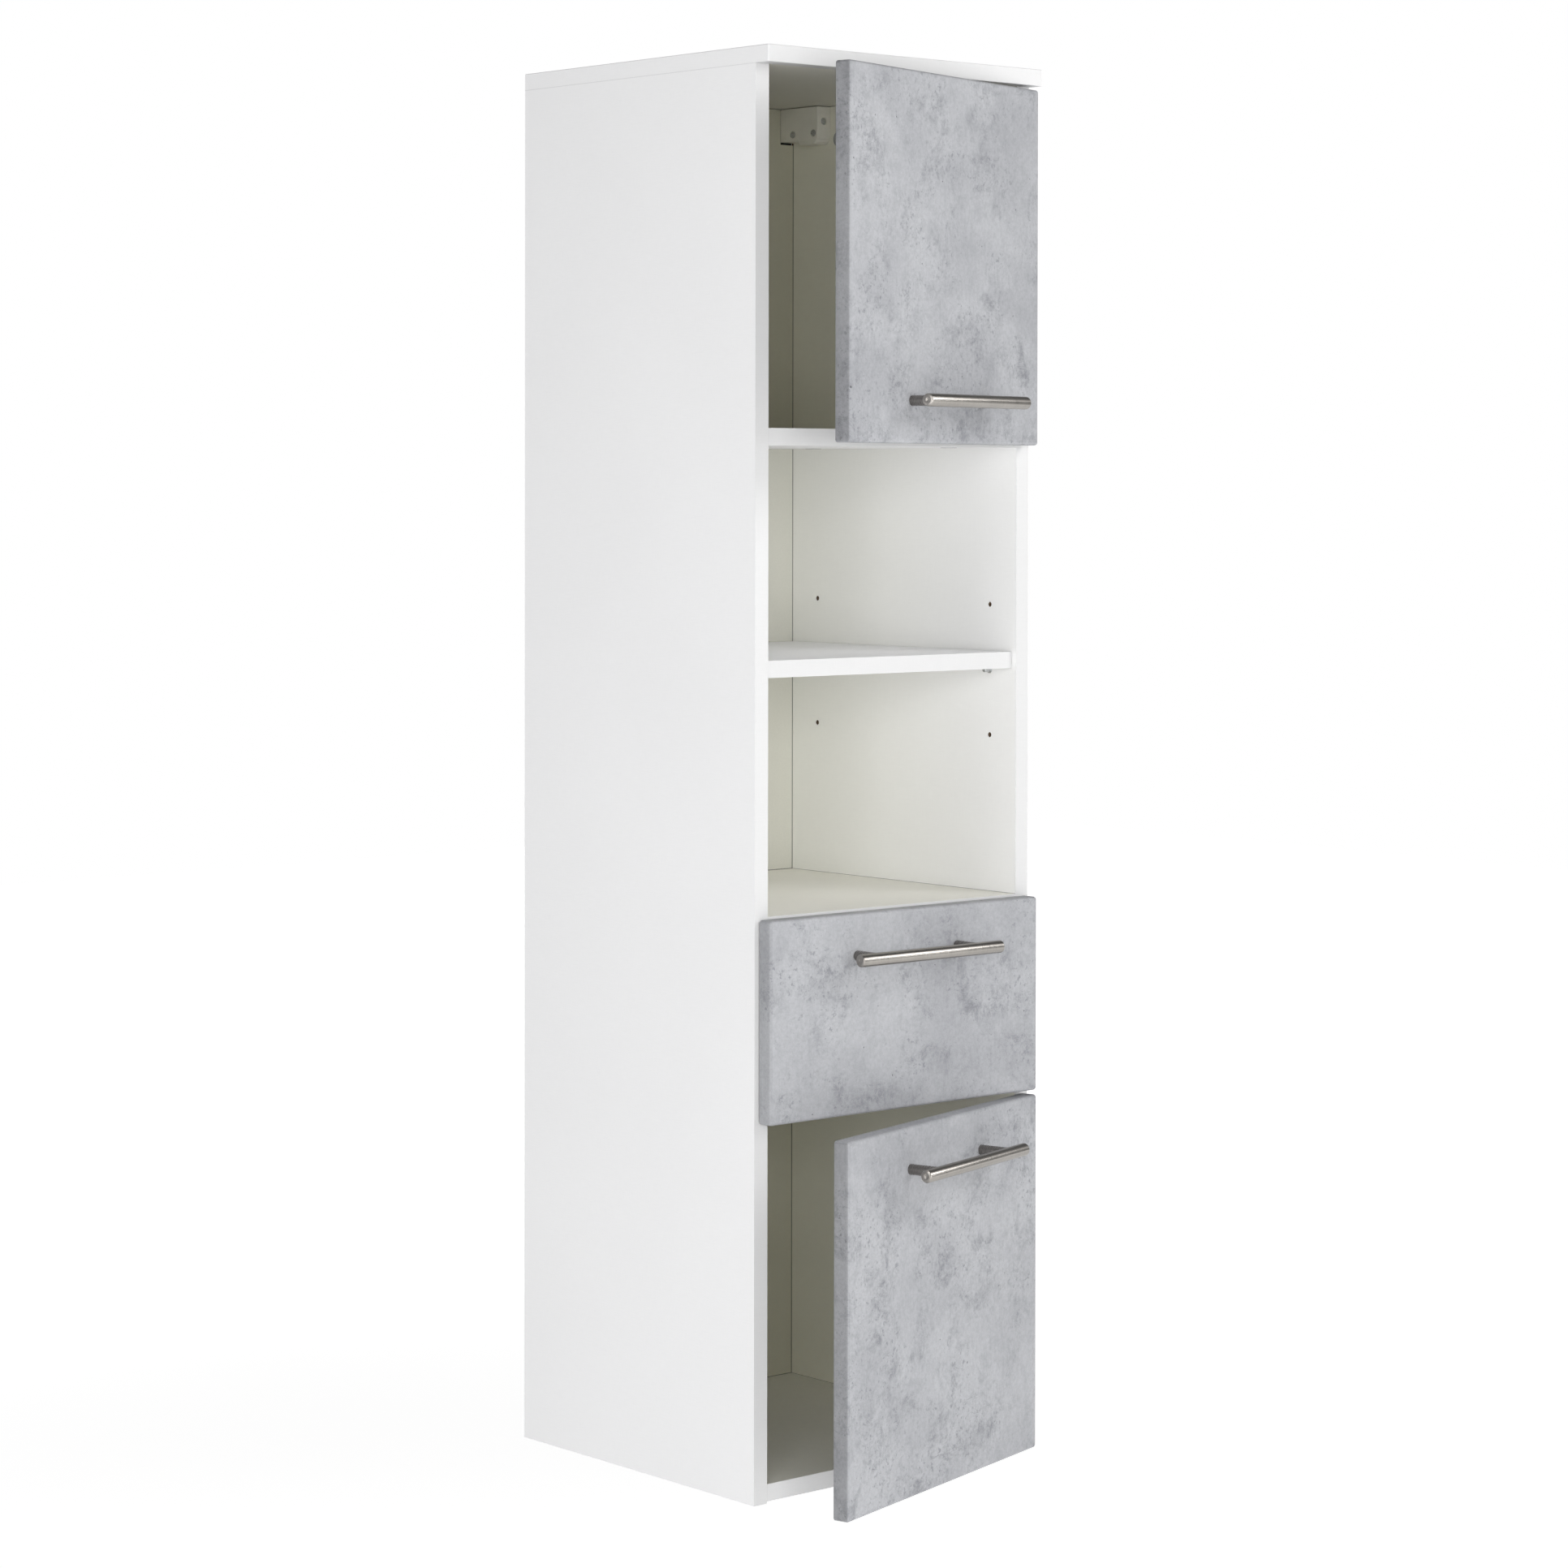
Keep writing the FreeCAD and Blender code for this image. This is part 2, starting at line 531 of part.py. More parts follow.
def top_panel():
    body = plate("XY", rectangle(("0", "cabinet_width"), ("front_face_y", "side_depth")),
                 "side_height", "cabinet_height")
    edges = [middle(low, high) for label, low, high, inner, inward, outward in SIDES]
    flat_bores(body, "XY", "side_height", [(x, y) for x in edges for y in FITTING_ROWS],
               "bolt_radius", "bolt_sink", "+", HEX)
    flat_bores(body, "XY", "side_height", [(x, DOWEL_ROW) for x in edges],
               "dowel_radius + bore_play", "dowel_sink + bore_play", "+", HEX)
    recess(body, "XY", "side_height",
           rectangle(("board_thickness", "inner_right_x"),
                     ("back_front_y - groove_play", "back_rear_y + groove_play")),
           "groove_depth", "+")
    height = sheet.get("cabinet_height")
    front = sheet.get("front_face_y")

    def outer(edge):
        box = edge.BoundBox
        upright = box.ZLength > box.XLength + box.YLength and box.YMax < front / 2
        lower_front = box.YMax < front / 2 and box.XLength > box.ZLength
        return box.ZMin > height - sheet.get("board_bevel") or upright or lower_front

    dress_edges(body, "Chamfer", "Size", "board_bevel", outer)
    finish(body, "top_panel")


def cross_boards():
    for label, under, upper in CROSS_BOARDS:
        body = plate("XY", rectangle(("board_thickness", "inner_right_x"), ("0", "back_front_y")),
                     under, upper)
        cams = ("board_thickness + cam_inset", "inner_right_x - cam_inset")
        flat_bores(body, "XY", under, [(x, y) for x in cams for y in FITTING_ROWS],
                   "cam_radius + bore_play", "cam_depth + bore_play", "+", OCTAGON)
        level = middle(under, upper)
        for side, low, high, inner, inward, outward in SIDES:
            flat_bores(body, "YZ", inner, [(y, level) for y in FITTING_ROWS],
                       "bolt_bore_radius", "cam_inset", outward, HEX)
            flat_bores(body, "YZ", inner, [(DOWEL_ROW, level)], "dowel_radius + bore_play",
                       "dowel_length - dowel_sink + bore_play", outward, HEX)
        finish(body, label)


def cam_fittings():
    """Cam locks with the bolts that they pull, and the dowels beside them."""
    cams, bolts, dowels = [], [], []
    reach = "bolt_sink + cam_inset - cam_radius"
    for side, low, high, inner, inward, outward in SIDES:
        across = middle(low, high)
        for y in FITTING_ROWS:
            cams.append(peg((inner, y, "side_height - cam_inset"), "cam_depth", "cam_radius",
                            inward + "x", OCTAGON))
            bolts.append(peg((across, y, "side_height + bolt_sink"), reach, "bolt_radius",
                             "-z", HEX))
        dowels.append(peg((across, DOWEL_ROW, "side_height + dowel_sink"), "dowel_length",
                          "dowel_radius", "-z", HEX))
        for label, under, upper in CROSS_BOARDS:
            level = middle(under, upper)
            for y in FITTING_ROWS:
                cams.append(peg(("%s %s cam_inset" % (inner, outward), y, under), "cam_depth",
                                "cam_radius", "+z", OCTAGON))
                bolts.append(peg(("%s %s bolt_sink" % (inner, inward), y, level), reach,
                                 "bolt_radius", outward + "x", HEX))
            dowels.append(peg(("%s %s dowel_sink" % (inner, inward), DOWEL_ROW, level),
                              "dowel_length", "dowel_radius", outward + "x", HEX))
    finish(group(cams), "cam_locks")
    finish(group(bolts), "cam_bolts")
    finish(group(dowels), "dowels")


def back_panel():
    reach = "groove_depth - groove_end_play"
    left = "board_thickness - (%s)" % reach
    right = "inner_right_x + (%s)" % reach
    top = "side_height + (%s)" % reach
    notch = "side_height - notch_height"
    notch_left = "board_thickness + notch_width"
    notch_right = "inner_right_x - notch_width"
    outline = ((left, "bottom_lift"), (right, "bottom_lift"), (right, notch),
               (notch_right, notch), (notch_right, top), (notch_left, top),
               (notch_left, notch), (left, notch))
    finish(plate("XZ", outline, "back_front_y", "back_rear_y"), "back_panel")


def adjustable_shelf():
    body = plate("XY", rectangle(
        ("board_thickness + shelf_play", "inner_right_x - shelf_play"),
        ("shelf_setback", "back_front_y - shelf_rear_play")),
        "shelf_under", "shelf_under + board_thickness")
    finish(body, "adjustable_shelf")
    pins = []
    for side, low, high, inner, inward, outward in SIDES:
        for y in PIN_COLUMNS:
            stem = peg(("%s %s pin_sink" % (inner, inward), y, "pin_row_z"),
                       "pin_sink + pin_reach", "pin_radius", outward + "x", OCTAGON)
            collar = peg((inner, y, "pin_row_z"), "pin_collar", "pin_collar_radius",
                         outward + "x", OCTAGON)
            pins.append(fused([stem, collar]))
    finish(group(pins), "shelf_pins")


def wall_hangers():
    """Two housings under the top panel, each with a steel hook over the wall rail."""
    hooks, adjusters, screws = [], [], []
    foot_front = "hanger_front_y + hanger_foot_front"
    foot_rear = foot_front + " + hanger_foot_depth"
    foot_under = "hanger_under - hanger_foot"
    housing_outline = (
        ("hanger_front_y", "side_height"), ("hanger_front_y", "hanger_under"),
        (foot_front, "hanger_under"), (foot_front + " + hanger_bevel", foot_under),
        (foot_rear + " - hanger_bevel", foot_under), (foot_rear, "hanger_under"),
        ("hanger_rear_y", "hanger_under"), ("hanger_rear_y", "side_height"))
    bridge_under = "rail_top + hook_play"
    bridge_top = bridge_under + " + hook_rise"
    tip_front = "lip_rear_y + hook_play"
    tip_rear = tip_front + " + hook_tip_thickness"
    tip_under = "rail_top - hook_tip_drop"
    hook_front = "hanger_front_y + hook_front_inset"
    tail_under = bridge_under + " - hook_tail"
    tail_rear = hook_front + " + hook_tail_depth"
    hook_outline = (
        (hook_front, bridge_top), (hook_front, tail_under), (tail_rear, tail_under),
        (tail_rear, bridge_under), (tip_front, bridge_under), (tip_front, tip_under),
        (tip_rear, tip_under), (tip_rear, bridge_top))
    adjuster_z = "side_height - adjuster_drop"
    screw_rows = ("hanger_front_y + hanger_screw_front",
                  "hanger_front_y + hanger_screw_front + hanger_screw_step")
    screw_z = "side_height - hanger_screw_drop"
    for side, low, high, inner, inward, outward in SIDES:
        outer_face = "%s %s hanger_thickness" % (inner, outward)
        span = (inner, outer_face) if outward == "+" else (outer_face, inner)
        centre = "%s %s hanger_thickness / 2" % (inner, outward)
        body = plate("YZ", housing_outline, *span)
        cavity = rectangle((hook_front + " - hook_play", "hanger_rear_y"),
                           (tail_under + " - hook_play", bridge_top + " + hook_play"))
        recess(body, "YZ", centre + " - hanger_slot_half", cavity, "2 * hanger_slot_half", "+")
        flat_bores(body, "XZ", "hanger_front_y", [(centre, adjuster_z)],
                   "adjuster_radius + bore_play", "adjuster_length", "+", OCTAGON)
        flat_bores(body, "YZ", outer_face, [(y, screw_z) for y in screw_rows],
                   "hanger_screw_bore", "hanger_thickness", inward, HEX)
        finish(body, side + "_hanger_housing")
        hooks.append(plate("YZ", hook_outline, centre + " - hook_half", centre + " + hook_half"))
        adjusters.append(peg((centre, "hanger_front_y", adjuster_z), "adjuster_length",
                             "adjuster_radius", "+y", OCTAGON))
        screws += [screw(("%s %s hanger_screw_head" % (outer_face, outward), y, screw_z),
                         inward + "x", "hanger_screw_shank",
                         "hanger_thickness + hanger_screw_length",
                         "hanger_screw_radius", "hanger_screw_head") for y in screw_rows]
    finish(group(hooks), "hanger_hooks")
    finish(group(adjusters), "hanger_adjusting_screws")
    finish(group(screws), "hanger_fixing_screws")


def wall_rail():
    web_front = "side_depth - rail_thickness"
    lip_front = "lip_rear_y - rail_thickness"
    step_under = "rail_step_z - rail_thickness"
    outline = (("side_depth", "rail_under"), ("side_depth", "rail_step_z"),
               ("lip_rear_y", "rail_step_z"), ("lip_rear_y", "rail_top"),
               (lip_front, "rail_top"), (lip_front, step_under),
               (web_front, step_under), (web_front, "rail_under"))
    body = plate("YZ", outline, "board_thickness + rail_end_play", "inner_right_x - rail_end_play")
    holes = [("front_middle_x %s rail_hole_step / 2" % sign, "rail_hole_z") for sign in "-+"]
    bores(body, "XZ", web_front, holes, "rail_hole_radius", "rail_thickness", "+")
    finish(body, "wall_rail")


def hinge_levels(under, top):
    return (("top", "%s - hinge_inset" % top), ("bottom", "%s + hinge_inset" % under))


def hinge_on_cabinet(name, level):
    """Mounting plate on the side panel and the cranked arm that is clipped over it."""
    around = lambda half: ("%s - %s" % (level, half), "%s + %s" % (level, half))
    strap_inner = "strap_x + arm_strap"
    foot_front, foot_rear = "pivot_y - foot_half", "pivot_y + foot_half"
    strap_rear = "arm_front_y + strap_overlap"
    strap = plate("XY", (("strap_x", foot_front), ("pivot_x", foot_front),
                         ("pivot_x", foot_rear), (strap_inner, foot_rear),
                         (strap_inner, strap_rear), ("strap_x", strap_rear)),
                  *around("knuckle_half"))
    knuckle = rod(("pivot_x", "pivot_y", level + " - knuckle_half"), "2 * knuckle_half",
                  "knuckle_radius", "+z")
    channel_y = ("arm_front_y", "arm_front_y + arm_length")
    channel = block(("strap_x", "inner_right_x - plate_base - plate_play"), channel_y,
                    around("arm_half"))
    hollow = block(("strap_x + arm_wall", "inner_right_x"),
                   ("arm_front_y", "arm_front_y + arm_length"),
                   around("(plate_rib_half + plate_play)"))
    bore = peg(("pivot_x", "pivot_y", level + " - knuckle_half"), "2 * knuckle_half",
               around_rod("hinge_pin_radius + hinge_pin_play", OCTAGON), "+z", OCTAGON)
    arm = cut(fused([strap, knuckle, cut(channel, [hollow])]), [bore])
    finish(arm, name + "_hinge_arm")

    wing_y = ("pin_column_y - plate_wing_depth / 2", "pin_column_y + plate_wing_depth / 2")
    wings = block(("inner_right_x - plate_base", "inner_right_x"), wing_y,
                  around("plate_wing_half"))
    rib = block(("strap_x + arm_strap + plate_play", "inner_right_x"),
                ("arm_front_y + plate_base", "arm_front_y + arm_length - plate_base"),
                around("plate_rib_half"))
    holes = [peg(("inner_right_x - plate_base", "pin_column_y",
                  "%s %s plate_screw_step" % (level, sign)), "plate_base",
                 "plate_screw_shank + screw_play", "+x", HEX) for sign in "-+"]
    finish(cut(fused([wings, rib]), holes), name + "_hinge_plate")
    return [screw(("inner_right_x - plate_base - plate_screw_head", "pin_column_y",
                   "%s %s plate_screw_step" % (level, sign)), "+x", "plate_screw_shank",
                  "plate_base + plate_screw_length", "plate_screw_radius", "plate_screw_head")
            for sign in "-+"]


def hinge_on_door(name, level):
    """Cup let into the door, with the pin housing beside it and a flange on the door."""
    around = lambda half: ("%s - %s" % (level, half), "%s + %s" % (level, half))
    floor_y = "front_back_y - cup_depth"
    flange_y = "front_back_y + flange_thickness"
    inside_y = floor_y + " + cup_wall"
    inside_depth = "cup_depth - cup_wall + flange_thickness"
    ear_end = "pivot_x + ear_reach"
    cup = peg(("cup_x", floor_y, level), "cup_depth", "cup_radius - cup_play", "+y",
              HEXADECAGON, HINGED)
    ears = block(("cup_x", ear_end), (floor_y, "front_back_y"), around("ear_half"), HINGED)
    flange_right = "front_right_x - flange_edge"
    flange = block((flange_right + " - flange_width", flange_right),
                   ("front_back_y", flange_y), around("flange_half"), HINGED)
    hollow = peg(("cup_x", inside_y, level), inside_depth, "cup_radius - cup_play - cup_wall",
                 "+y", HEXADECAGON, HINGED)
    way = block(("cup_x", ear_end + " - ear_wall"), (inside_y, flange_y),
                around("(knuckle_half + knuckle_play)"), HINGED)
    pin_hole = peg(("pivot_x", "pivot_y", level + " - hinge_pin_half"), "2 * hinge_pin_half",
                   "hinge_pin_radius", "+z", OCTAGON, HINGED)
    holes = [peg(("cup_x", "front_back_y", "%s %s cup_screw_step" % (level, sign)),
                 "flange_thickness", "cup_screw_shank + screw_play", "+y", HEX, HINGED)
             for sign in "-+"]
    body = cut(fused([cup, ears, flange]), [hollow, way, pin_hole] + holes)
    finish(body, name + "_hinge_cup", HINGED)
    pin = peg(("pivot_x", "pivot_y", level + " - hinge_pin_half"), "2 * hinge_pin_half",
              "hinge_pin_radius", "+z", OCTAGON, HINGED)
    screws = [screw(("cup_x", flange_y + " + cup_screw_head",
                     "%s %s cup_screw_step" % (level, sign)), "-y", "cup_screw_shank",
                    "flange_thickness + cup_screw_length", "cup_screw_radius",
                    "cup_screw_head", HINGED) for sign in "-+"]
    return pin, screws


def front(label, under, top, handle_z, levels, frame):
    """Door or drawer front: face board, with bores for its handle and hinge cups."""
    body = plate("XZ", rectangle(("front_reveal", "front_right_x"), (under, top)),
                 "front_face_y", "front_back_y", frame)
    face = sheet.get("front_face_y") - (sheet.get("pivot_y") if frame is HINGED else 0)
    posts = [("front_middle_x %s handle_step / 2" % sign, handle_z) for sign in "-+"]
    flat_bores(body, "XZ", "front_back_y", posts, "handle_screw_radius + handle_screw_play",
               "front_thickness", "-", HEX, frame)
    if levels:
        flat_bores(body, "XZ", "front_back_y", [("cup_x", level) for spot, level in levels],
                   "cup_radius", "cup_depth", "-", HEXADECAGON, frame)
    for spot, level in levels:
        recess(body, "XZ", "front_back_y",
               rectangle(("cup_x", "pivot_x + ear_reach"),
                         (level + " - ear_half", level + " + ear_half")),
               "cup_depth", "-", frame)
    dress_edges(body, "Fillet", "Radius", "front_rounding",
                lambda edge: edge.BoundBox.YMax < face + sheet.get("front_rounding") / 2)
    finish(body, label, frame)


def handle(name, height, frame):
    """Round bar on two posts, screwed on through the front."""
    bar = (("0", "0"), ("handle_radius - handle_bevel", "0"), ("handle_radius", "handle_bevel"),
           ("handle_radius", "handle_length - handle_bevel"),
           ("handle_radius - handle_bevel", "handle_length"), ("0", "handle_length"))
    end = ("front_middle_x - handle_length / 2", "handle_bar_y", height)
    finish(group([turned(bar, end, "+x", frame)]), name + "_handle_bar", frame)
    posts, screws = [], []
    for sign in "-+":
        x = "front_middle_x %s handle_step / 2" % sign
        post = peg((x, "front_face_y", height), "handle_stand", "post_radius", "-y",
                   HEXADECAGON, frame)
        saddle = peg(end, "handle_length", around_rod("handle_radius", HEXADECAGON), "+x",
                     HEXADECAGON, frame)
        thread = peg((x, "front_face_y", height), "handle_screw_bite + handle_screw_play",
                     "handle_screw_radius", "-y", HEX, frame)
        posts.append(cut(post, [saddle, thread]))
        screws.append(screw((x, "front_back_y + handle_head_height", height), "-y",
                            "handle_screw_radius", "front_thickness + handle_screw_bite",
                            "handle_head_radius", "handle_head_height", frame))
    finish(group(posts), name + "_handle_posts", frame)
    finish(group(screws), name + "_handle_screws", frame)


def doors():
    plate_screws = []
    for door, under, top, handle_z in (
            ("upper_door", "upper_door_under", "upper_door_top",
             "upper_door_under + handle_inset"),
            ("lower_door", "lower_door_under", "lower_door_top",
             "lower_door_top - handle_inset")):
        levels = hinge_levels(under, top)
        front(door + "_panel", under, top, handle_z, levels, HINGED)
        handle(door, handle_z, HINGED)
        pins, cup_screws = [], []
        for spot, level in levels:
            plate_screws += hinge_on_cabinet(door + "_" + spot, level)
            pin, screws = hinge_on_door(door + "_" + spot, level)
            pins.append(pin)
            cup_screws += screws
        finish(group(pins), door + "_hinge_pins", HINGED)
        finish(group(cup_screws), door + "_hinge_screws", HINGED)
        bumpers = [peg(("front_reveal + bumper_inset", "front_back_y", height),
                       "bumper_thickness", "bumper_radius", "+y", OCTAGON, HINGED)
                   for height in (under + " + bumper_rise", top + " - bumper_rise")]
        finish(group(bumpers), door + "_bumpers", HINGED)
    finish(group(plate_screws), "hinge_plate_screws")


def drawer():
    front("drawer_front", "drawer_front_under", "drawer_front_top",
          "drawer_front_top - handle_inset", (), FIXED)
    handle("drawer", "drawer_front_top - handle_inset", FIXED)
    inner = []
    groove = ("drawer_bottom_under - groove_play",
              "drawer_bottom_under + back_thickness + groove_play")
    for side, low, high, face, inward, outward in SIDES:
        outer_face = "%s %s drawer_side_space" % (face, outward)
        inner_face = outer_face + " %s drawer_side_thickness" % outward
        span = (outer_face, inner_face) if outward == "+" else (inner_face, outer_face)
        body = plate("YZ", rectangle(("front_back_y", "drawer_rear_y"),
                                     ("drawer_side_under", "drawer_side_top")), *span)
        recess(body, "YZ", inner_face, rectangle(("front_back_y", "drawer_rear_y"), groove),
               "drawer_groove", inward)
        finish(body, "drawer_%s_side" % side)
        inner.append(inner_face)
    finish(plate("XY", rectangle(
        (inner[0] + " - drawer_groove + groove_end_play",
         inner[1] + " + drawer_groove - groove_end_play"),
        ("front_back_y", "drawer_rear_y")),
        "drawer_bottom_under", "drawer_bottom_under + back_thickness"), "drawer_bottom")
    finish(plate("XZ", rectangle(inner, ("drawer_bottom_under + back_thickness",
                                         "drawer_side_top - drawer_back_drop")),
                 "drawer_rear_y - drawer_side_thickness", "drawer_rear_y"), "drawer_back")


def axle(start, length, direction):
    """Shaft of a roller, with a flat head that keeps the roller on."""
    neck = "%s %s (%s)" % (start[0], direction, length)
    return fused([peg(start, length, "axle_radius", direction + "x", OCTAGON),
                  peg((neck, start[1], start[2]), "axle_head", "axle_head_radius",
                      direction + "x", OCTAGON)])


def runners():
    """Roller runners: a channel with a front roller, and a track with a rear roller."""
    front_rollers, rear_rollers, screws = [], [], []
    upper = "runner_under + runner_height"
    floor = "runner_under + runner_steel"
    track_top = "track_under + runner_steel"
    shaft = "2 * roller_side_play + roller_width"
    screw_z = "runner_under + runner_screw_rise"
    for side, low, high, face, inward, outward in SIDES:
        out = lambda distance: "%s %s (%s)" % (face, outward, distance)
        web, reach = out("runner_steel"), out("runner_reach")
        channel = ((face, "runner_under"), (reach, "runner_under"), (reach, floor),
                   (web, floor), (web, upper + " - runner_steel"),
                   (reach, upper + " - runner_steel"), (reach, upper), (face, upper))
        rear_y = "runner_front_y + runner_length"
        body = plate("XZ", channel, "runner_front_y", rear_y)
        screw_rows = ("runner_front_y + runner_screw_inset", rear_y + " - runner_screw_inset")
        flat_bores(body, "YZ", web, [(y, screw_z) for y in screw_rows],
                   "runner_screw_shank + screw_play", "runner_steel", inward, HEX)
        front_axle = axle((web, "front_roller_y", "roller_z"), shaft, outward)
        finish(fused([body, front_axle]), side + "_cabinet_runner")

        wall = out("drawer_side_space")
        steel = out("drawer_side_space - runner_steel")
        edge = out("drawer_side_space - runner_steel - 2 * roller_side_play - roller_width")
        lip = out("drawer_side_space + runner_lip")
        lip_under = "drawer_side_under - runner_steel"
        track = ((edge, "track_under"), (steel, "track_under"), (steel, lip_under),
                 (lip, lip_under), (lip, "drawer_side_under"), (wall, "drawer_side_under"),
                 (wall, track_top), (edge, track_top))
        body = plate("XZ", track, "0", "drawer_rear_y")
        rear_axle = axle((steel, "rear_roller_y", "roller_z"), shaft, inward)
        finish(fused([body, rear_axle]), side + "_drawer_runner")

        for rollers, start, y, direction in (
                (front_rollers, out("runner_steel + roller_side_play"), "front_roller_y",
                 outward),
                (rear_rollers, out("drawer_side_space - runner_steel - roller_side_play"),
                 "rear_roller_y", inward)):
            wheel = rod((start, y, "roller_z"), "roller_width", "roller_radius", direction + "x")
            bore = peg((start, y, "roller_z"), "roller_width",
                       around_rod("axle_radius + axle_play", OCTAGON), direction + "x", OCTAGON)
            rollers.append(cut(wheel, [bore]))
        screws += [screw((out("runner_steel + runner_screw_head"), y, screw_z), inward + "x",
                         "runner_screw_shank", "runner_steel + runner_screw_length",
                         "runner_screw_radius", "runner_screw_head") for y in screw_rows]
    finish(group(front_rollers), "front_rollers")
    finish(group(rear_rollers), "rear_rollers")
    finish(group(screws), "runner_screws")


def check():
    """Stop if a feature failed, a pocket cut nothing, or a piece isn't a sound solid."""
    for item in doc.Objects:
        if "Invalid" in item.State or "Error" in item.State:
            raise RuntimeError("%s failed: %s" % (item.Name, item.State))
        if item.TypeId == "PartDesign::Pocket":
            if item.Shape.Volume >= item.BaseFeature.Shape.Volume:
                raise RuntimeError("%s cuts nothing" % item.Name)
    for piece in pieces:
        if piece.Shape.isNull() or not piece.Shape.isValid() or not piece.Shape.Solids:
            raise RuntimeError("%s isn't a sound solid" % piece.Label)


fill_sheet()
side_panels()
top_panel()
cross_boards()
cam_fittings()
back_panel()
adjustable_shelf()
wall_hangers()
wall_rail()
doors()
drawer()
runners()
doc.recompute()
check()
os.makedirs("parts", exist_ok=True)
for piece in pieces:
    piece.Shape.exportStep("parts/%s.step" % piece.Label)
print(len(pieces), "pieces written")
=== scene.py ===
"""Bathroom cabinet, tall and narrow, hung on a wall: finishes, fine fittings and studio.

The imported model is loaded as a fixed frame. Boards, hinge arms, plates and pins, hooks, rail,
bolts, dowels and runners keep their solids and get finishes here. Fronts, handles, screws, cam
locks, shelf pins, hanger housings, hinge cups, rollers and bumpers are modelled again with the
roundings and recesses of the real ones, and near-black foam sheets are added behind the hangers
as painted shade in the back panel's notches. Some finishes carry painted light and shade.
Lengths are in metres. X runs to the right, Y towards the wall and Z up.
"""
import json
import math

import bmesh
import bpy
from mathutils import Matrix, Vector

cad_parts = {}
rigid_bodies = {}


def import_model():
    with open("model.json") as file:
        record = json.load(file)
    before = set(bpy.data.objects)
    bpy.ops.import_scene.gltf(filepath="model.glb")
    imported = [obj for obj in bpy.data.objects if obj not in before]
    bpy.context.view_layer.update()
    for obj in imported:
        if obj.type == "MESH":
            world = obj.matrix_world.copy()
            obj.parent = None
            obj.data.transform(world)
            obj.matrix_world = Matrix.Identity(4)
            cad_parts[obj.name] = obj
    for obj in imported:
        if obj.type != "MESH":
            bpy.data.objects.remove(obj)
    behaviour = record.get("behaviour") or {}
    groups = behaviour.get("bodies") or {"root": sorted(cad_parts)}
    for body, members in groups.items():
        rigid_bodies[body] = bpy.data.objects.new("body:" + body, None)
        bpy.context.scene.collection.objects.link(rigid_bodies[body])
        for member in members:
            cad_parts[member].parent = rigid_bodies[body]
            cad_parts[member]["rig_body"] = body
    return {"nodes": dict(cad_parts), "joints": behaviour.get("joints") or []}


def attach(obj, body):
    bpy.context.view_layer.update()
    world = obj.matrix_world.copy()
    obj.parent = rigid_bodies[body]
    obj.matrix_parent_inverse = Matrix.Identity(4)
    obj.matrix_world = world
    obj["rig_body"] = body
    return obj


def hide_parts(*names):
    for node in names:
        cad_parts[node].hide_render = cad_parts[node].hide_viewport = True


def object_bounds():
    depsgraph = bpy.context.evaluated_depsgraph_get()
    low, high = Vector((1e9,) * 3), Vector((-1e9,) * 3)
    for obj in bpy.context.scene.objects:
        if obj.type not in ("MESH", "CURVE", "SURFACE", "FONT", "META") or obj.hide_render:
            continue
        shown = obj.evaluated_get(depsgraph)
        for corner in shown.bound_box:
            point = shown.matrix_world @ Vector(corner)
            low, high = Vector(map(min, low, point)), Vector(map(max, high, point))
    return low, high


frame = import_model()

bl_info = {
    "name": "Bathroom Cabinet",
    "version": (1, 0, 0),
    "blender": (4, 5, 0),
    "location": "3D View > Sidebar > Cabinet",
    "description": "Finishes, fittings and studio for a tall wall-hung bathroom cabinet",
    "category": "Object",
}

CAD_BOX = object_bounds()
NODES = frame["nodes"]
JOINTS = {joint["name"]: joint for joint in frame["joints"]}
DOORS = ("upper_door", "lower_door")
FRONTS = {"upper_door_panel": "upper_door", "lower_door_panel": "lower_door",
          "drawer_front": "drawer"}

MM = 0.001
WELD = 0.001 * MM    # corners closer than this are one
NEAR = 0.01 * MM     # levels closer than this are the same
SKIN = 0.3 * MM      # by how much the inner space takes in the faces round it
CLEAR = 1 * MM       # how far a cut goes past the face that it opens
X, Y, Z = range(3)
UP, OUT, LEFT, RIGHT = Vector((0, 0, 1)), Vector((0, -1, 0)), Vector((-1, 0, 0)), Vector((1, 0, 0))

# Soft boxes: watts, degrees to the left of straight ahead, degrees up, width and height in metres
LAMPS = {"key_light": (52, 46, 5, 1.8, 1.6),
         "front_light": (37, 21, 5, 1.4, 1.6),
         "side_light": (28, 88, 5, 1.4, 1.6),
         "shadow_light": (12, -38, 3, 0.6, 0.6),
         "top_light": (42, -34, 31, 1.8, 1.6),
         "shine_light": (44, -40, 20, 2.4, 1.0)}
SHINE_ONLY = ("shine_light",)    # strip box that only the steel and other glossy faces show

# Boards and the side on which a seam, a dark joint with painted shade in the gap, shows against the
# next board
BOARD_SEAMS = {"top_panel": (Z, -1), "left_side_panel": (Z, 1), "right_side_panel": (Z, 1),
               "bottom_panel": (X, -1), "niche_floor": (X, -1), "upper_fixed_shelf": (X, -1),
               "adjustable_shelf": None, "drawer_left_side": None, "drawer_right_side": None,
               "drawer_back": None}

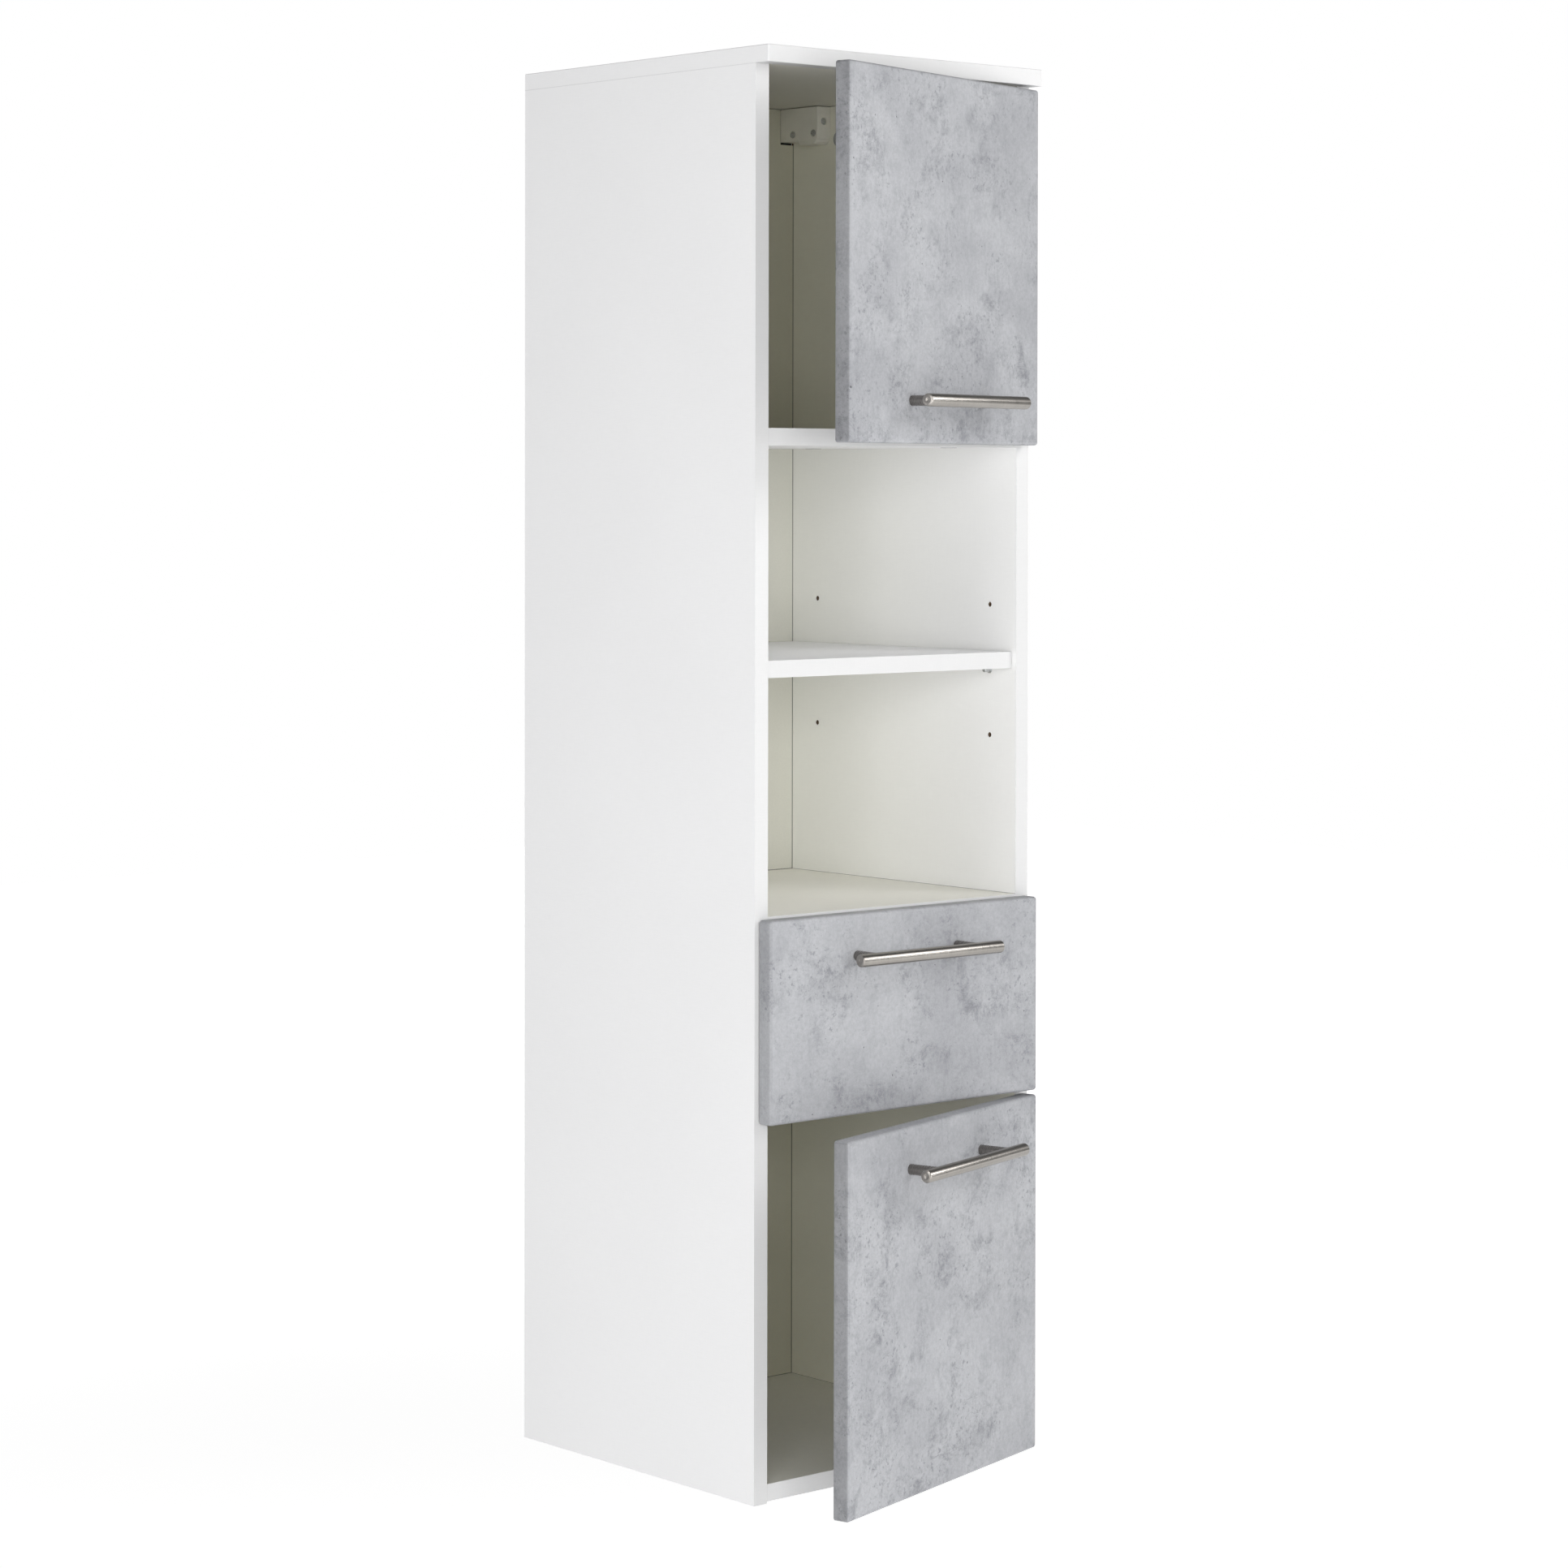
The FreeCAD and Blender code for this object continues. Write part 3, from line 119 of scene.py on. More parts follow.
# Screws: piece, node, millimetres of head radius, head height and shank radius, and the way that
# the head faces, or None for towards the cabinet's middle
SCREWS = (("plate_screws", "hinge_plate_screws", (3.6, 1.6, 2.2), None),
          ("hanger_screws", "hanger_fixing_screws", (3.4, 1.2, 2.0), None),
          ("runner_fixings", "runner_screws", (3.0, 0.8, 1.8), None),
          ("hanger_adjusters", "hanger_adjusting_screws", (3.5, 1.6, 2.5), OUT),
          *((door + "_cup_screws", door + "_hinge_screws", (3.2, 1.5, 1.8), -OUT)
            for door in DOORS),
          *((body + "_handle_bolts", body + "_handle_screws", (4.0, 2.3, 2.0), -OUT)
            for body in FRONTS.values()))

# Noise on the finishes: scale, detail, roughness and distortion
CLOUDS, REGIONS = (8, 4, 0.6, 0.4), (13, 7, 0.68, 0.6)
BLOTS, DOTS, GRAIN = (32, 12, 0.86, 0.3), (210, 3, 0.7), (300, 3, 0.8)
SPREAD = (0.3, 0.7)    # most of a noise lies between these
# Marks on the concrete: noise, levels between which they show, strength over the regions
STAINS = ((BLOTS, (0.46, 0.65), (0.42, 0.62, 0.22, 0.80)),
          (DOTS, (0.55, 0.68), (0.42, 0.58, 0.12, 0.60)))
FLECKS = ((170, 0.86), (300, 0.80))               # cells a metre, share of them left bare
PITS = ((48, 0.062, 0.74), (110, 0.085, 0.80))    # cells a metre, size, share left bare


# Where things are

def ajar(body):
    """Matrix from a body's place with the doors shut to its place at rest."""
    if body not in DOORS:
        return Matrix.Identity(4)
    joint = JOINTS[body + "_hinge"]
    pivot = Matrix.Translation(joint["pos_m"])
    return pivot @ Matrix.Rotation(-math.radians(joint["range_deg"][0]), 4, "Z") @ pivot.inverted()


def body_of(node):
    return NODES[node]["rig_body"]


def box_round(points):
    """Lowest and highest corner of the box round some points."""
    levels = list(zip(*points))
    return Vector(map(min, levels)), Vector(map(max, levels))


def solids_of(node):
    """Lowest and highest corners of each solid in a CAD node, with the doors shut."""
    shut = ajar(body_of(node)).inverted()
    mesh = bmesh.new()
    mesh.from_mesh(NODES[node].data)
    bmesh.ops.remove_doubles(mesh, verts=mesh.verts, dist=WELD)
    left, boxes = set(mesh.verts), []
    while left:
        island, rim = set(), [left.pop()]
        while rim:
            vert = rim.pop()
            island.add(vert)
            near = {edge.other_vert(vert) for edge in vert.link_edges} & left
            left -= near
            rim.extend(near)
        boxes.append(box_round([shut @ vert.co for vert in island]))
    mesh.free()
    return sorted(boxes, key=lambda box: tuple(box[0]))


def box_of(node):
    """Lowest and highest corner of a whole CAD node, with the doors shut."""
    return box_round([corner for box in solids_of(node) for corner in box])


def middle(low, high):
    return (low + high) / 2


def inwards(low, high):
    """Towards the middle of the cabinet."""
    return RIGHT if middle(low, high).x < 0 else LEFT


# Modelling by hand

def deselect():
    bpy.ops.object.select_all(action="DESELECT")


def select_only(item):
    deselect()
    item.select_set(True)
    bpy.context.view_layer.objects.active = item


def settled(name):
    """Name the new object and move its place into its mesh."""
    item = bpy.context.active_object
    item.name = name
    bpy.ops.object.transform_apply(location=True, rotation=True, scale=True)
    return item


def heading(direction):
    """Turn that takes up to a direction."""
    return direction.to_track_quat("Z", "Y").to_euler()


def cylinder(name, radius, depth, centre, direction=UP, sides=48):
    deselect()
    bpy.ops.mesh.primitive_cylinder_add(vertices=sides, radius=radius, depth=depth,
                                        location=centre, rotation=heading(direction))
    return settled(name)


def cuboid(name, low, high):
    deselect()
    bpy.ops.mesh.primitive_cube_add(size=1, location=middle(low, high), scale=high - low)
    return settled(name)


class Editing:
    """Edit mode on one object, with nothing selected at first."""

    def __init__(self, item):
        self.item = item

    def __enter__(self):
        select_only(self.item)
        bpy.ops.object.mode_set(mode="EDIT")
        bpy.ops.mesh.select_mode(type="FACE")
        bpy.ops.mesh.select_all(action="DESELECT")
        return self

    def __exit__(self, *trouble):
        bpy.ops.object.mode_set(mode="OBJECT")

    def pick(self, kind, wanted):
        """Select the faces or edges for which wanted() is true."""
        bpy.ops.mesh.select_mode(type={"faces": "FACE", "edges": "EDGE"}[kind])
        bpy.ops.mesh.select_all(action="DESELECT")
        mesh = bmesh.from_edit_mesh(self.item.data)
        mesh.normal_update()
        for element in getattr(mesh, kind):
            if wanted(element):
                element.select_set(True)
        mesh.select_flush_mode()
        bmesh.update_edit_mesh(self.item.data)

    def bevel(self, wanted, width, segments):
        """Round the edges for which wanted() is true."""
        self.pick("edges", wanted)
        bpy.ops.mesh.bevel(offset=width, segments=segments, affect="EDGES")


def bevel(item, wanted, width, segments):
    with Editing(item) as edit:
        edit.bevel(wanted, width, segments)


def facing(direction, limit=0.9):
    """Test for faces that face a direction."""
    return lambda face: face.normal.dot(direction) > limit


def at_end(face):
    """Test for the ends of a rod along X."""
    return abs(face.normal.x) > 0.99


def at_level(axis, level):
    """Test for edges in a plane across an axis."""
    return lambda edge: all(abs(vert.co[axis] - level) < NEAR for vert in edge.verts)


def along(axis):
    """Test for edges that run along an axis, on a shape whose others lie square to it."""
    return lambda edge: abs(edge.verts[0].co[axis] - edge.verts[1].co[axis]) > NEAR


def across(axis):
    """Test for edges that lie square to an axis, as on the rims of a rod along it."""
    return lambda edge: not along(axis)(edge)


def run_modifier(item, kind, **values):
    select_only(item)
    modifier = item.modifiers.new(kind.title(), kind)
    for key, value in values.items():
        setattr(modifier, key, value)
    bpy.ops.object.modifier_apply(modifier=modifier.name)


def combine(item, tool, operation):
    run_modifier(item, "BOOLEAN", object=tool, operation=operation, solver="EXACT")
    bpy.data.objects.remove(tool)


def cut(item, tool):
    """Take from an item the shape of a tool, which is then gone."""
    combine(item, tool, "DIFFERENCE")


def unite(item, tool):
    """Join to an item the shape of a tool, which is then gone."""
    combine(item, tool, "UNION")


def soften(item, width, segments=2, angle=35):
    run_modifier(item, "BEVEL", width=width, segments=segments, limit_method="ANGLE",
                 angle_limit=math.radians(angle))


def smooth(item, angle=35):
    select_only(item)
    bpy.ops.object.shade_smooth_by_angle(angle=math.radians(angle))


def joined(items, name):
    deselect()
    for item in items:
        item.select_set(True)
    bpy.context.view_layer.objects.active = items[0]
    if len(items) > 1:
        bpy.ops.object.join()
    items[0].name = name
    return items[0]


def placed_copies(model, places, name):
    """Copies of a model that faces up at the origin, each at a point and in a direction."""
    copies = []
    for point, direction in places:
        select_only(model)
        bpy.ops.object.duplicate(linked=False)
        item = bpy.context.active_object
        item.location = point
        item.rotation_euler = heading(direction)
        bpy.ops.object.transform_apply(location=True, rotation=True, scale=True)
        copies.append(item)
    bpy.data.objects.remove(model)
    return joined(copies, name)


def finish_piece(item, body, slot, material, *nodes):
    """Swing a door's piece ajar, then give it its finish and its body, and hide the nodes it stands
    for.
    """
    item.data.transform(ajar(body))
    item.data.materials.clear()
    item.data.materials.append(material)
    item.data.name = item.name
    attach(item, body)
    if nodes:
        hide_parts(*nodes)


# Finishes

class Graph:
    """Node tree under construction, with short names for the nodes it needs."""

    def __init__(self, tree):
        self.nodes, self.links = tree.nodes, tree.links

    def add(self, kind, **values):
        node = self.nodes.new(kind)
        for key, value in values.items():
            setattr(node, key, value)
        return node

    def feed(self, socket, source):
        if isinstance(source, bpy.types.NodeSocket):
            self.links.new(source, socket)
        else:
            socket.default_value = source

    def fed(self, node, first, second):
        """A node fed with two values."""
        self.feed(node.inputs[0], first)
        self.feed(node.inputs[1], second)
        return node

    def math(self, operation, first, second=0.0):
        return self.fed(self.add("ShaderNodeMath", operation=operation), first, second).outputs[0]

    def vector(self, operation, first, second=(0, 0, 0)):
        node = self.fed(self.add("ShaderNodeVectorMath", operation=operation), first, second)
        return node.outputs["Value" if operation == "LENGTH" else "Vector"]

    def parts(self, vector):
        node = self.add("ShaderNodeSeparateXYZ")
        self.feed(node.inputs[0], vector)
        return node.outputs

    def remap(self, value, low, high, new_low=0.0, new_high=1.0):
        node = self.add("ShaderNodeMapRange", clamp=True, interpolation_type="SMOOTHSTEP")
        for name, source in (("Value", value), ("From Min", low), ("From Max", high),
                             ("To Min", new_low), ("To Max", new_high)):
            self.feed(node.inputs[name], source)
        return node.outputs["Result"]

    def seen_by(self, *kinds):
        """1 for rays of some kinds, and 0 for all others."""
        rays, seen = self.add("ShaderNodeLightPath").outputs, 0.0
        for kind in kinds:
            seen = self.math("MAXIMUM", seen, rays["Is %s Ray" % kind])
        return seen


class Finish(Graph):
    """Material under construction, placed as its body is with the doors shut."""

    def __init__(self, name, body="carcass"):
        self.material = bpy.data.materials.new(name)
        self.material.use_nodes = True
        super().__init__(self.material.node_tree)
        self.shader = self.nodes["Principled BSDF"]
        shut = ajar(body).inverted()
        mapping = self.add("ShaderNodeMapping")
        mapping.inputs["Location"].default_value = shut.translation
        mapping.inputs["Rotation"].default_value = shut.to_euler()
        self.links.new(self.add("ShaderNodeTexCoord").outputs["Object"], mapping.inputs["Vector"])
        self.place = mapping.outputs["Vector"]

    def level(self, axis):
        return self.parts(self.place)[axis]

    def normal(self):
        return self.add("ShaderNodeTexCoord").outputs["Normal"]

    def stretch(self, scale):
        """The place scaled on each axis, for marks that run along one of them."""
        return self.vector("MULTIPLY", self.place, scale)

    def noise(self, scale, detail=3, roughness=0.5, distortion=0.0, place=None, output="Fac"):
        node = self.add("ShaderNodeTexNoise", noise_dimensions="3D")
        self.feed(node.inputs["Vector"], place or self.place)
        for name, value in (("Scale", scale), ("Detail", detail), ("Roughness", roughness),
                            ("Distortion", distortion)):
            node.inputs[name].default_value = value
        return node.outputs[output]

    def strokes(self, scale, detail, roughness=0.5, distortion=0.0):
        """Noise with its own scale on each axis."""
        return self.noise(1.0, detail, roughness, distortion, self.stretch(scale))

    def cells(self, scale, place=None):
        """Distance to the nearest of scattered points, and a chance number of that point."""
        node = self.add("ShaderNodeTexVoronoi", feature="F1")
        self.feed(node.inputs["Vector"], place or self.place)
        node.inputs["Scale"].default_value = scale
        return node.outputs["Distance"], self.parts(node.outputs["Color"])["X"]

    def mix(self, amount, first, second, blend="MIX"):
        node = self.add("ShaderNodeMix", data_type="RGBA", blend_type=blend)
        for socket, source in zip((node.inputs[0], node.inputs[6], node.inputs[7]),
                                  (amount, first, second)):
            self.feed(socket, source)
        return node.outputs[2]

    def tone(self, colour, factor):
        """A colour made lighter or darker by a factor that varies over the surface."""
        node = self.add("ShaderNodeCombineColor")
        for socket in node.inputs:
            self.feed(socket, factor)
        return self.mix(1.0, colour, node.outputs[0], "MULTIPLY")

    def vary(self, colour, source, first, last, low=SPREAD[0], high=SPREAD[1]):
        """A colour whose tone goes from one factor to another as a source goes from low to high."""
        return self.tone(colour, self.remap(source, low, high, first, last))

    def within(self, low, high):
        """1 inside a box, and 0 on its faces and outside."""
        away = self.vector("ABSOLUTE", self.vector("SUBTRACT", self.place, middle(low, high)))
        over = self.parts(self.vector("SUBTRACT", away, (high - low) / 2))
        most = self.math("MAXIMUM", self.math("MAXIMUM", over["X"], over["Y"]), over["Z"])
        return self.math("LESS_THAN", most, 0.0)

    def bump(self, height, strength, distance):
        node = self.add("ShaderNodeBump")
        node.inputs["Strength"].default_value = strength
        node.inputs["Distance"].default_value = distance
        self.feed(node.inputs["Height"], height)
        return node.outputs["Normal"]

    def shade(self, colour, roughness, normal=None, **constants):
        self.feed(self.shader.inputs["Base Color"], colour)
        self.feed(self.shader.inputs["Roughness"], roughness)
        if normal:
            self.feed(self.shader.inputs["Normal"], normal)
        for name, amount in constants.items():
            self.shader.inputs[name.replace("_", " ")].default_value = amount
        return self.material


def rgba(colour):
    return (*colour, 1.0)


def settings():
    return bpy.context.scene.cabinet_looks


def give(node, material):
    """Put a material on a CAD node."""
    slots = NODES[node].material_slots
    if not slots:
        NODES[node].data.materials.append(material)
    for slot in slots:
        slot.material = material


def chipboard_and_bore_shade(finish):
    """Brown chips, as they show in a bore or a groove, made darker still as painted shade inside
    the hole.
    """
    chance = finish.cells(900)[1]
    return finish.vary(rgba(settings().chipboard_and_bore_shade), chance, 0.55, 1.15, 0, 1)


def inner_space():
    """The space inside the cabinet, behind the edge bands and before the back panel."""
    left, right = box_of("left_side_panel"), box_of("right_side_panel")
    low = Vector((left[1].x - SKIN, left[0].y + settings().edging_thickness,
                  box_of("bottom_panel")[1].z - SKIN))
    return low, Vector((right[0].x + SKIN, box_of("back_panel")[0].y, right[1].z + SKIN))


def inner_seams(wall):
    """Where the walls, the back panel and the fixed boards meet inside, less the wall itself."""
    lines = [(Z, box_of(node)[1].z) for node in ("bottom_panel", "niche_floor",
                                                 "upper_fixed_shelf")]
    lines.append((Z, box_of("top_panel")[0].z))
    if wall:
        return lines + [(Y, box_of("back_panel")[0].y)]
    return lines + [(X, box_of("left_side_panel")[1].x), (X, box_of("right_side_panel")[0].x)]


def joints_and_gap_shade(finish, colour, lines, width, tone):
    """Thin dark joints, painted shade in the gaps, on planes across an axis where other boards meet
    a surface.
    """
    for axis, level in lines:
        off = finish.math("ABSOLUTE", finish.math("SUBTRACT", finish.level(axis), level))
        colour = finish.vary(colour, off, tone, 1.0, width / 2, width)
    return colour


def warm_shade_behind_doors(finish, colour):
    """A colour with painted warm shade in the closed compartments, and none in the open niche."""
    floor, ceiling = box_of("niche_floor")[1].z, box_of("upper_fixed_shelf")[0].z
    off = finish.math("SUBTRACT", finish.level(Z), (floor + ceiling) / 2)
    shut = finish.math("GREATER_THAN", finish.math("ABSOLUTE", off), (ceiling - floor) / 2)
    warm_shade = finish.mix(1.0, colour, rgba(settings().shut_shade_tint), "MULTIPLY")
    return finish.mix(shut, colour, warm_shade)


def board_finish(node, seam):
    """White melamine with a fine weave; the edge bands get painted shade, the boards inside painted
    light, and the joints and closed compartments painted shade.
    """
    look = settings()
    finish = Finish(node + "_melamine", body_of(node))
    low, high = box_of(node)
    room = inner_space()
    # Painted light: the boards inside are lighter than the same melamine outside, and the walls
    # lighter and warmer towards the rear
    colour = rgba(look.melamine_level)
    if node.endswith("_side_panel"):
        deep = finish.remap(finish.level(Y), room[0].y, room[1].y)
        colour = finish.mix(deep, rgba(look.melamine_inside), rgba(look.melamine_deep))
        colour = joints_and_gap_shade(finish, colour, inner_seams(True), look.wall_seam, 0.45)
    inside = finish.within(*room) if body_of(node) == "carcass" else 0.0
    colour = finish.mix(inside, rgba(look.melamine), warm_shade_behind_doors(finish, colour))
    # Painted shade: the front edge bands are darker than the boards, on top of their own colour
    edging = look.top_edge_band_shade if node == "top_panel" else look.edging
    ahead = finish.parts(finish.normal())[Y]
    colour = finish.mix(finish.remap(ahead, -0.8, -0.95), colour, rgba(edging))
    warp, weft = finish.strokes((1600, 1600, 90), 2), finish.strokes((90, 90, 1600), 2)
    weave = finish.math("MULTIPLY", finish.math("ADD", warp, weft), 0.5)
    colour = finish.vary(colour, weave, 0.985, 1.012)
    colour = finish.vary(colour, finish.noise(5, 2), 0.992, 1.006)
    if seam:
        axis, sign = seam
        edge = high[axis] if sign > 0 else low[axis]
        colour = joints_and_gap_shade(finish, colour, [(axis, edge)], look.outer_seam, 0.86)
    foil = Vector((1, 1, 1)) * look.foil_thickness
    colour = finish.mix(finish.within(low + foil, high - foil), colour, chipboard_and_bore_shade(finish))
    return finish.shade(colour, finish.remap(weave, *SPREAD, 0.40, 0.50),
                        finish.bump(weave, 0.12, look.relief), Specular_IOR_Level=0.4)


def back_finish():
    """Painted hardboard, with painted shade in the narrow gaps along the walls and the fixed
    boards.
    """
    look = settings()
    finish = Finish("white_hardboard")
    texture = finish.noise(700, 3, 0.6)
    front = box_of("back_panel")[0].y + look.foil_thickness
    # Painted warm shade behind the doors
    colour = warm_shade_behind_doors(finish, rgba(look.hardboard))
    colour = joints_and_gap_shade(finish, colour, inner_seams(False), look.back_seam, 0.30)
    colour = finish.mix(finish.math("LESS_THAN", finish.level(Y), front), rgba(look.hardboard),
                        colour)
    colour = finish.vary(colour, texture, 0.98, 1.01)
    colour = finish.vary(colour, finish.noise(9, 3), 0.985, 1.01)
    return finish.shade(colour, finish.remap(texture, *SPREAD, 0.5, 0.62),
                        finish.bump(texture, 0.2, look.relief))


def stains(finish):
    """Smudges, speckles and flecks, more of them in some regions."""
    regions = finish.noise(*REGIONS)
    dirt = 0.0
    for noise, levels, strength in STAINS:
        mark = finish.math("MULTIPLY", finish.remap(finish.noise(*noise), *levels),
                           finish.remap(regions, *strength))
        dirt = finish.math("MAXIMUM", dirt, mark)
    flecks = 0.0
    for scale, bare in FLECKS:
        distance, chance = finish.cells(scale, finish.stretch((1.5, 1, 0.8)))
        spot = finish.math("MULTIPLY", finish.remap(distance, 0.30, 0.12),
                           finish.math("GREATER_THAN", chance, bare))
        flecks = finish.math("MAXIMUM", flecks, spot)
    flecks = finish.math("MULTIPLY", flecks, finish.remap(regions, 0.40, 0.58, 0.08, 0.42))
    return finish.math("MAXIMUM", dirt, flecks)


def hairlines(finish):
    """Thin cracks where two sides of a noise meet, in a few places."""
    ridge = finish.math("SUBTRACT", finish.strokes((10, 10, 60), 3, 0.5, 0.7), 0.5)
    line = finish.remap(finish.math("ABSOLUTE", ridge), 0.004, 0.001)
    return finish.math("MULTIPLY", line, finish.remap(finish.noise(13, 2), 0.655, 0.69))


def pits(finish):
    """Small ragged holes of chance sizes."""
    ragged = finish.vector("ADD", finish.place, finish.vector(
        "MULTIPLY", (settings().pit_wobble,) * 3, finish.noise(190, 2, output="Color")))
    holes = 0.0
    for scale, size, bare in PITS:
        distance, chance = finish.cells(scale, ragged)
        reach = finish.remap(chance, bare, 1.0, 0.0, size)
        spot = finish.remap(finish.math("SUBTRACT", distance, reach), 0.025, -0.025)
        chosen = finish.math("GREATER_THAN", chance, bare)
        holes = finish.math("MAXIMUM", holes, finish.math("MULTIPLY", spot, chosen))
    return holes


def concrete_finish(node):
    """Grey foil printed like cast concrete, on particle board, with painted shade on the sides, on
    the rounded edges and over the whole drawer front.
    """
    look = settings()
    body = body_of(node)
    finish = Finish(node + "_concrete", body)
    low, high = box_of(node)
    front_shade, side_shade = ((look.drawer_front_shade, look.drawer_side_shade) if body == "drawer"
                             else (1.0, look.door_side_shade))
    grain = finish.noise(*GRAIN)
    colour = finish.mix(finish.remap(finish.noise(*CLOUDS), 0.35, 0.62), rgba(look.concrete),
                        rgba(look.concrete_pale))
    # Painted shade: the drawer front is darker than the doors' faces
    colour = finish.tone(colour, front_shade)
    colour = finish.vary(colour, grain, 1.05, 0.93, 0.32, 0.68)
    colour = finish.vary(colour, finish.strokes((190, 190, 40), 6, 0.72), 1.01, 0.93, 0.48, 0.72)
    colour = finish.mix(stains(finish), colour, rgba(look.concrete_dark))
    colour = finish.mix(finish.math("MULTIPLY", hairlines(finish), 0.5), colour,
                        rgba(look.concrete_dark))
    holes = pits(finish)
    colour = finish.mix(finish.math("MULTIPLY", holes, 0.80), colour, rgba(look.concrete_pit))
    turn = finish.add("ShaderNodeVectorRotate", rotation_type="Z_AXIS")
    finish.feed(turn.inputs["Vector"], finish.normal())
    turn.inputs["Angle"].default_value = ajar(body).inverted().to_euler().z
    side = finish.math("ABSOLUTE", finish.parts(turn.outputs[0])[X])
    # Painted shade on the rounded edges of the fronts, to hold down their highlight
    rounding_band = finish.math("MULTIPLY", finish.remap(side, 0.10, 0.30), finish.remap(side, 0.9, 0.6))
    colour = finish.vary(colour, rounding_band, 1.0, look.rounding_shade, 0, 1)
    # Painted shade: the sides of the fronts are darker than their faces
    colour = finish.vary(colour, side, 1.0, side_shade, 0.6, 0.9)
    skin = Vector((1, 1, 1)) * look.front_rounding / 2
    colour = finish.mix(finish.within(low + skin, high - skin), colour, chipboard_and_bore_shade(finish))
    height = finish.math("SUBTRACT", finish.math("MULTIPLY", grain, 0.4), holes)
    return finish.shade(colour, finish.remap(grain, *SPREAD, 0.46, 0.58),
                        finish.bump(height, 0.25, look.concrete_relief), Specular_IOR_Level=0.35)


def steel_finish(name, colour, body="carcass", run=(60, 2600, 2600), rough=(0.24, 0.40),
                 relief=0.10, axis=None):
    """Steel or zinc with strokes that run along the axes on which run is small.

    Strokes round an axis spread the reflections along it.
    """
    finish = Finish(name, body)
    strokes = finish.strokes(run, 4, 0.65)
    shine = finish.vary(rgba(colour), strokes, 0.90, 1.06)
    shine = finish.vary(shine, finish.noise(60, 2), 0.96, 1.03)
    brushing = 0.0
    if axis:
        ahead = finish.add("ShaderNodeVectorTransform", vector_type="VECTOR",
                           convert_from="OBJECT", convert_to="WORLD")
        ahead.inputs[0].default_value = ajar(body).to_3x3() @ (axis + UP * 0.1)
        finish.feed(finish.shader.inputs["Tangent"], ahead.outputs[0])
        brushing = settings().brushing
    return finish.shade(shine, finish.remap(strokes, *SPREAD, *rough),
                        finish.bump(strokes, relief, settings().steel_relief),
                        Metallic=1.0, Anisotropic=brushing)


def moulded_finish(name, colour, body="carcass", grain=900, rough=(0.36, 0.48), relief=0.1):
    """Plastic or paint with a fine texture and slight changes of tone."""
    finish = Finish(name, body)
    texture = finish.noise(grain, 3, 0.6)
    paint = finish.vary(rgba(colour), finish.noise(30, 3, 0.5, 0.3), 0.96, 1.02)
    paint = finish.vary(paint, texture, 0.98, 1.01)
    return finish.shade(paint, finish.remap(texture, *SPREAD, *rough),
                        finish.bump(texture, relief, settings().relief))


def felt_finish(name, body, colour):
    finish = Finish(name, body)
    fibres = finish.noise(1500, 5, 0.75, 1.0)
    return finish.shade(finish.vary(rgba(colour), fibres, 0.75, 1.1),
                        finish.remap(fibres, *SPREAD, 0.88, 1.0),
                        finish.bump(fibres, 0.6, settings().felt_relief), Sheen_Weight=0.3)


def beech_finish():
    finish = Finish("beech_dowels")
    fibres = finish.strokes((80, 1800, 1800), 5, 0.6)
    rays = finish.strokes((500, 3500, 3500), 3)
    wood = finish.vary(rgba(settings().beech), fibres, 0.82, 1.10)
    return finish.shade(finish.vary(wood, rays, 1.0, 0.80, 0.62, 0.74),
                        finish.remap(fibres, *SPREAD, 0.5, 0.65),
                        finish.bump(fibres, 0.2, settings().relief))


# Fittings

def cross_recess(item, width, depth):
    """Cut a cross for a screwdriver into the top of a piece that faces up."""
    for long, short in ((width, width / 4), (width / 4, width)):
        half = Vector((long / 2, short / 2, depth))
        bar = cuboid("cross", -half, half)
        with Editing(bar) as edit:
            edit.pick("faces", facing(-UP))
            bpy.ops.transform.resize(value=(0.55, 0.55, 1))
        cut(item, bar)


def screw_model(head_radius, head_height, shank_radius, length):
    """Pan head screw whose head's top is at the origin, facing up."""
    screw = cylinder("screw", head_radius, head_height, UP * (-head_height / 2), sides=32)
    with Editing(screw) as edit:
        edit.bevel(at_level(Z, 0), head_height * 0.55, 4)
        edit.pick("faces", facing(-UP, 0.99))
        bpy.ops.mesh.inset(thickness=head_radius - shank_radius)
        bpy.ops.mesh.extrude_region_move(TRANSFORM_OT_translate={"value": (0, 0, -length)})
    cross_recess(screw, head_radius * 1.15, head_height * 0.6)
    smooth(screw, 40)
    return screw


def add_screws(name, node, sizes, way, material):
    """Screws of some head radius, head height and shank radius in place of plain ones."""
    radius, height, shank = (size * MM for size in sizes)
    places = []
    for low, high in solids_of(node):
        ahead = inwards(low, high) if way is None else way
        reach = abs((high - low).dot(ahead)) / 2
        places.append((middle(low, high) + ahead * reach, ahead))
    model = screw_model(radius, height, shank, 2 * reach - height)
    finish_piece(placed_copies(model, places, name), body_of(node), "zinc_steel", material, node)


def hinge_bore(board, back, cup_low, cup_high):
    """Bore for a hinge cup in the back of a door, with the pocket for its pin housing."""
    look = settings()
    centre = Vector((cup_low.x + look.cup_radius, back, middle(cup_low, cup_high).z))
    cut(board, cylinder("bore", look.cup_radius + look.cup_play, 2 * (back - cup_low.y), centre,
                        OUT, 64))
    reach = UP * look.ear_half + Vector((1, 0, 1)) * look.cup_play
    cut(board, cuboid("pocket", Vector((centre.x, cup_low.y, centre.z)) - reach,
                      Vector((cup_high.x, back + CLEAR, centre.z)) + reach))


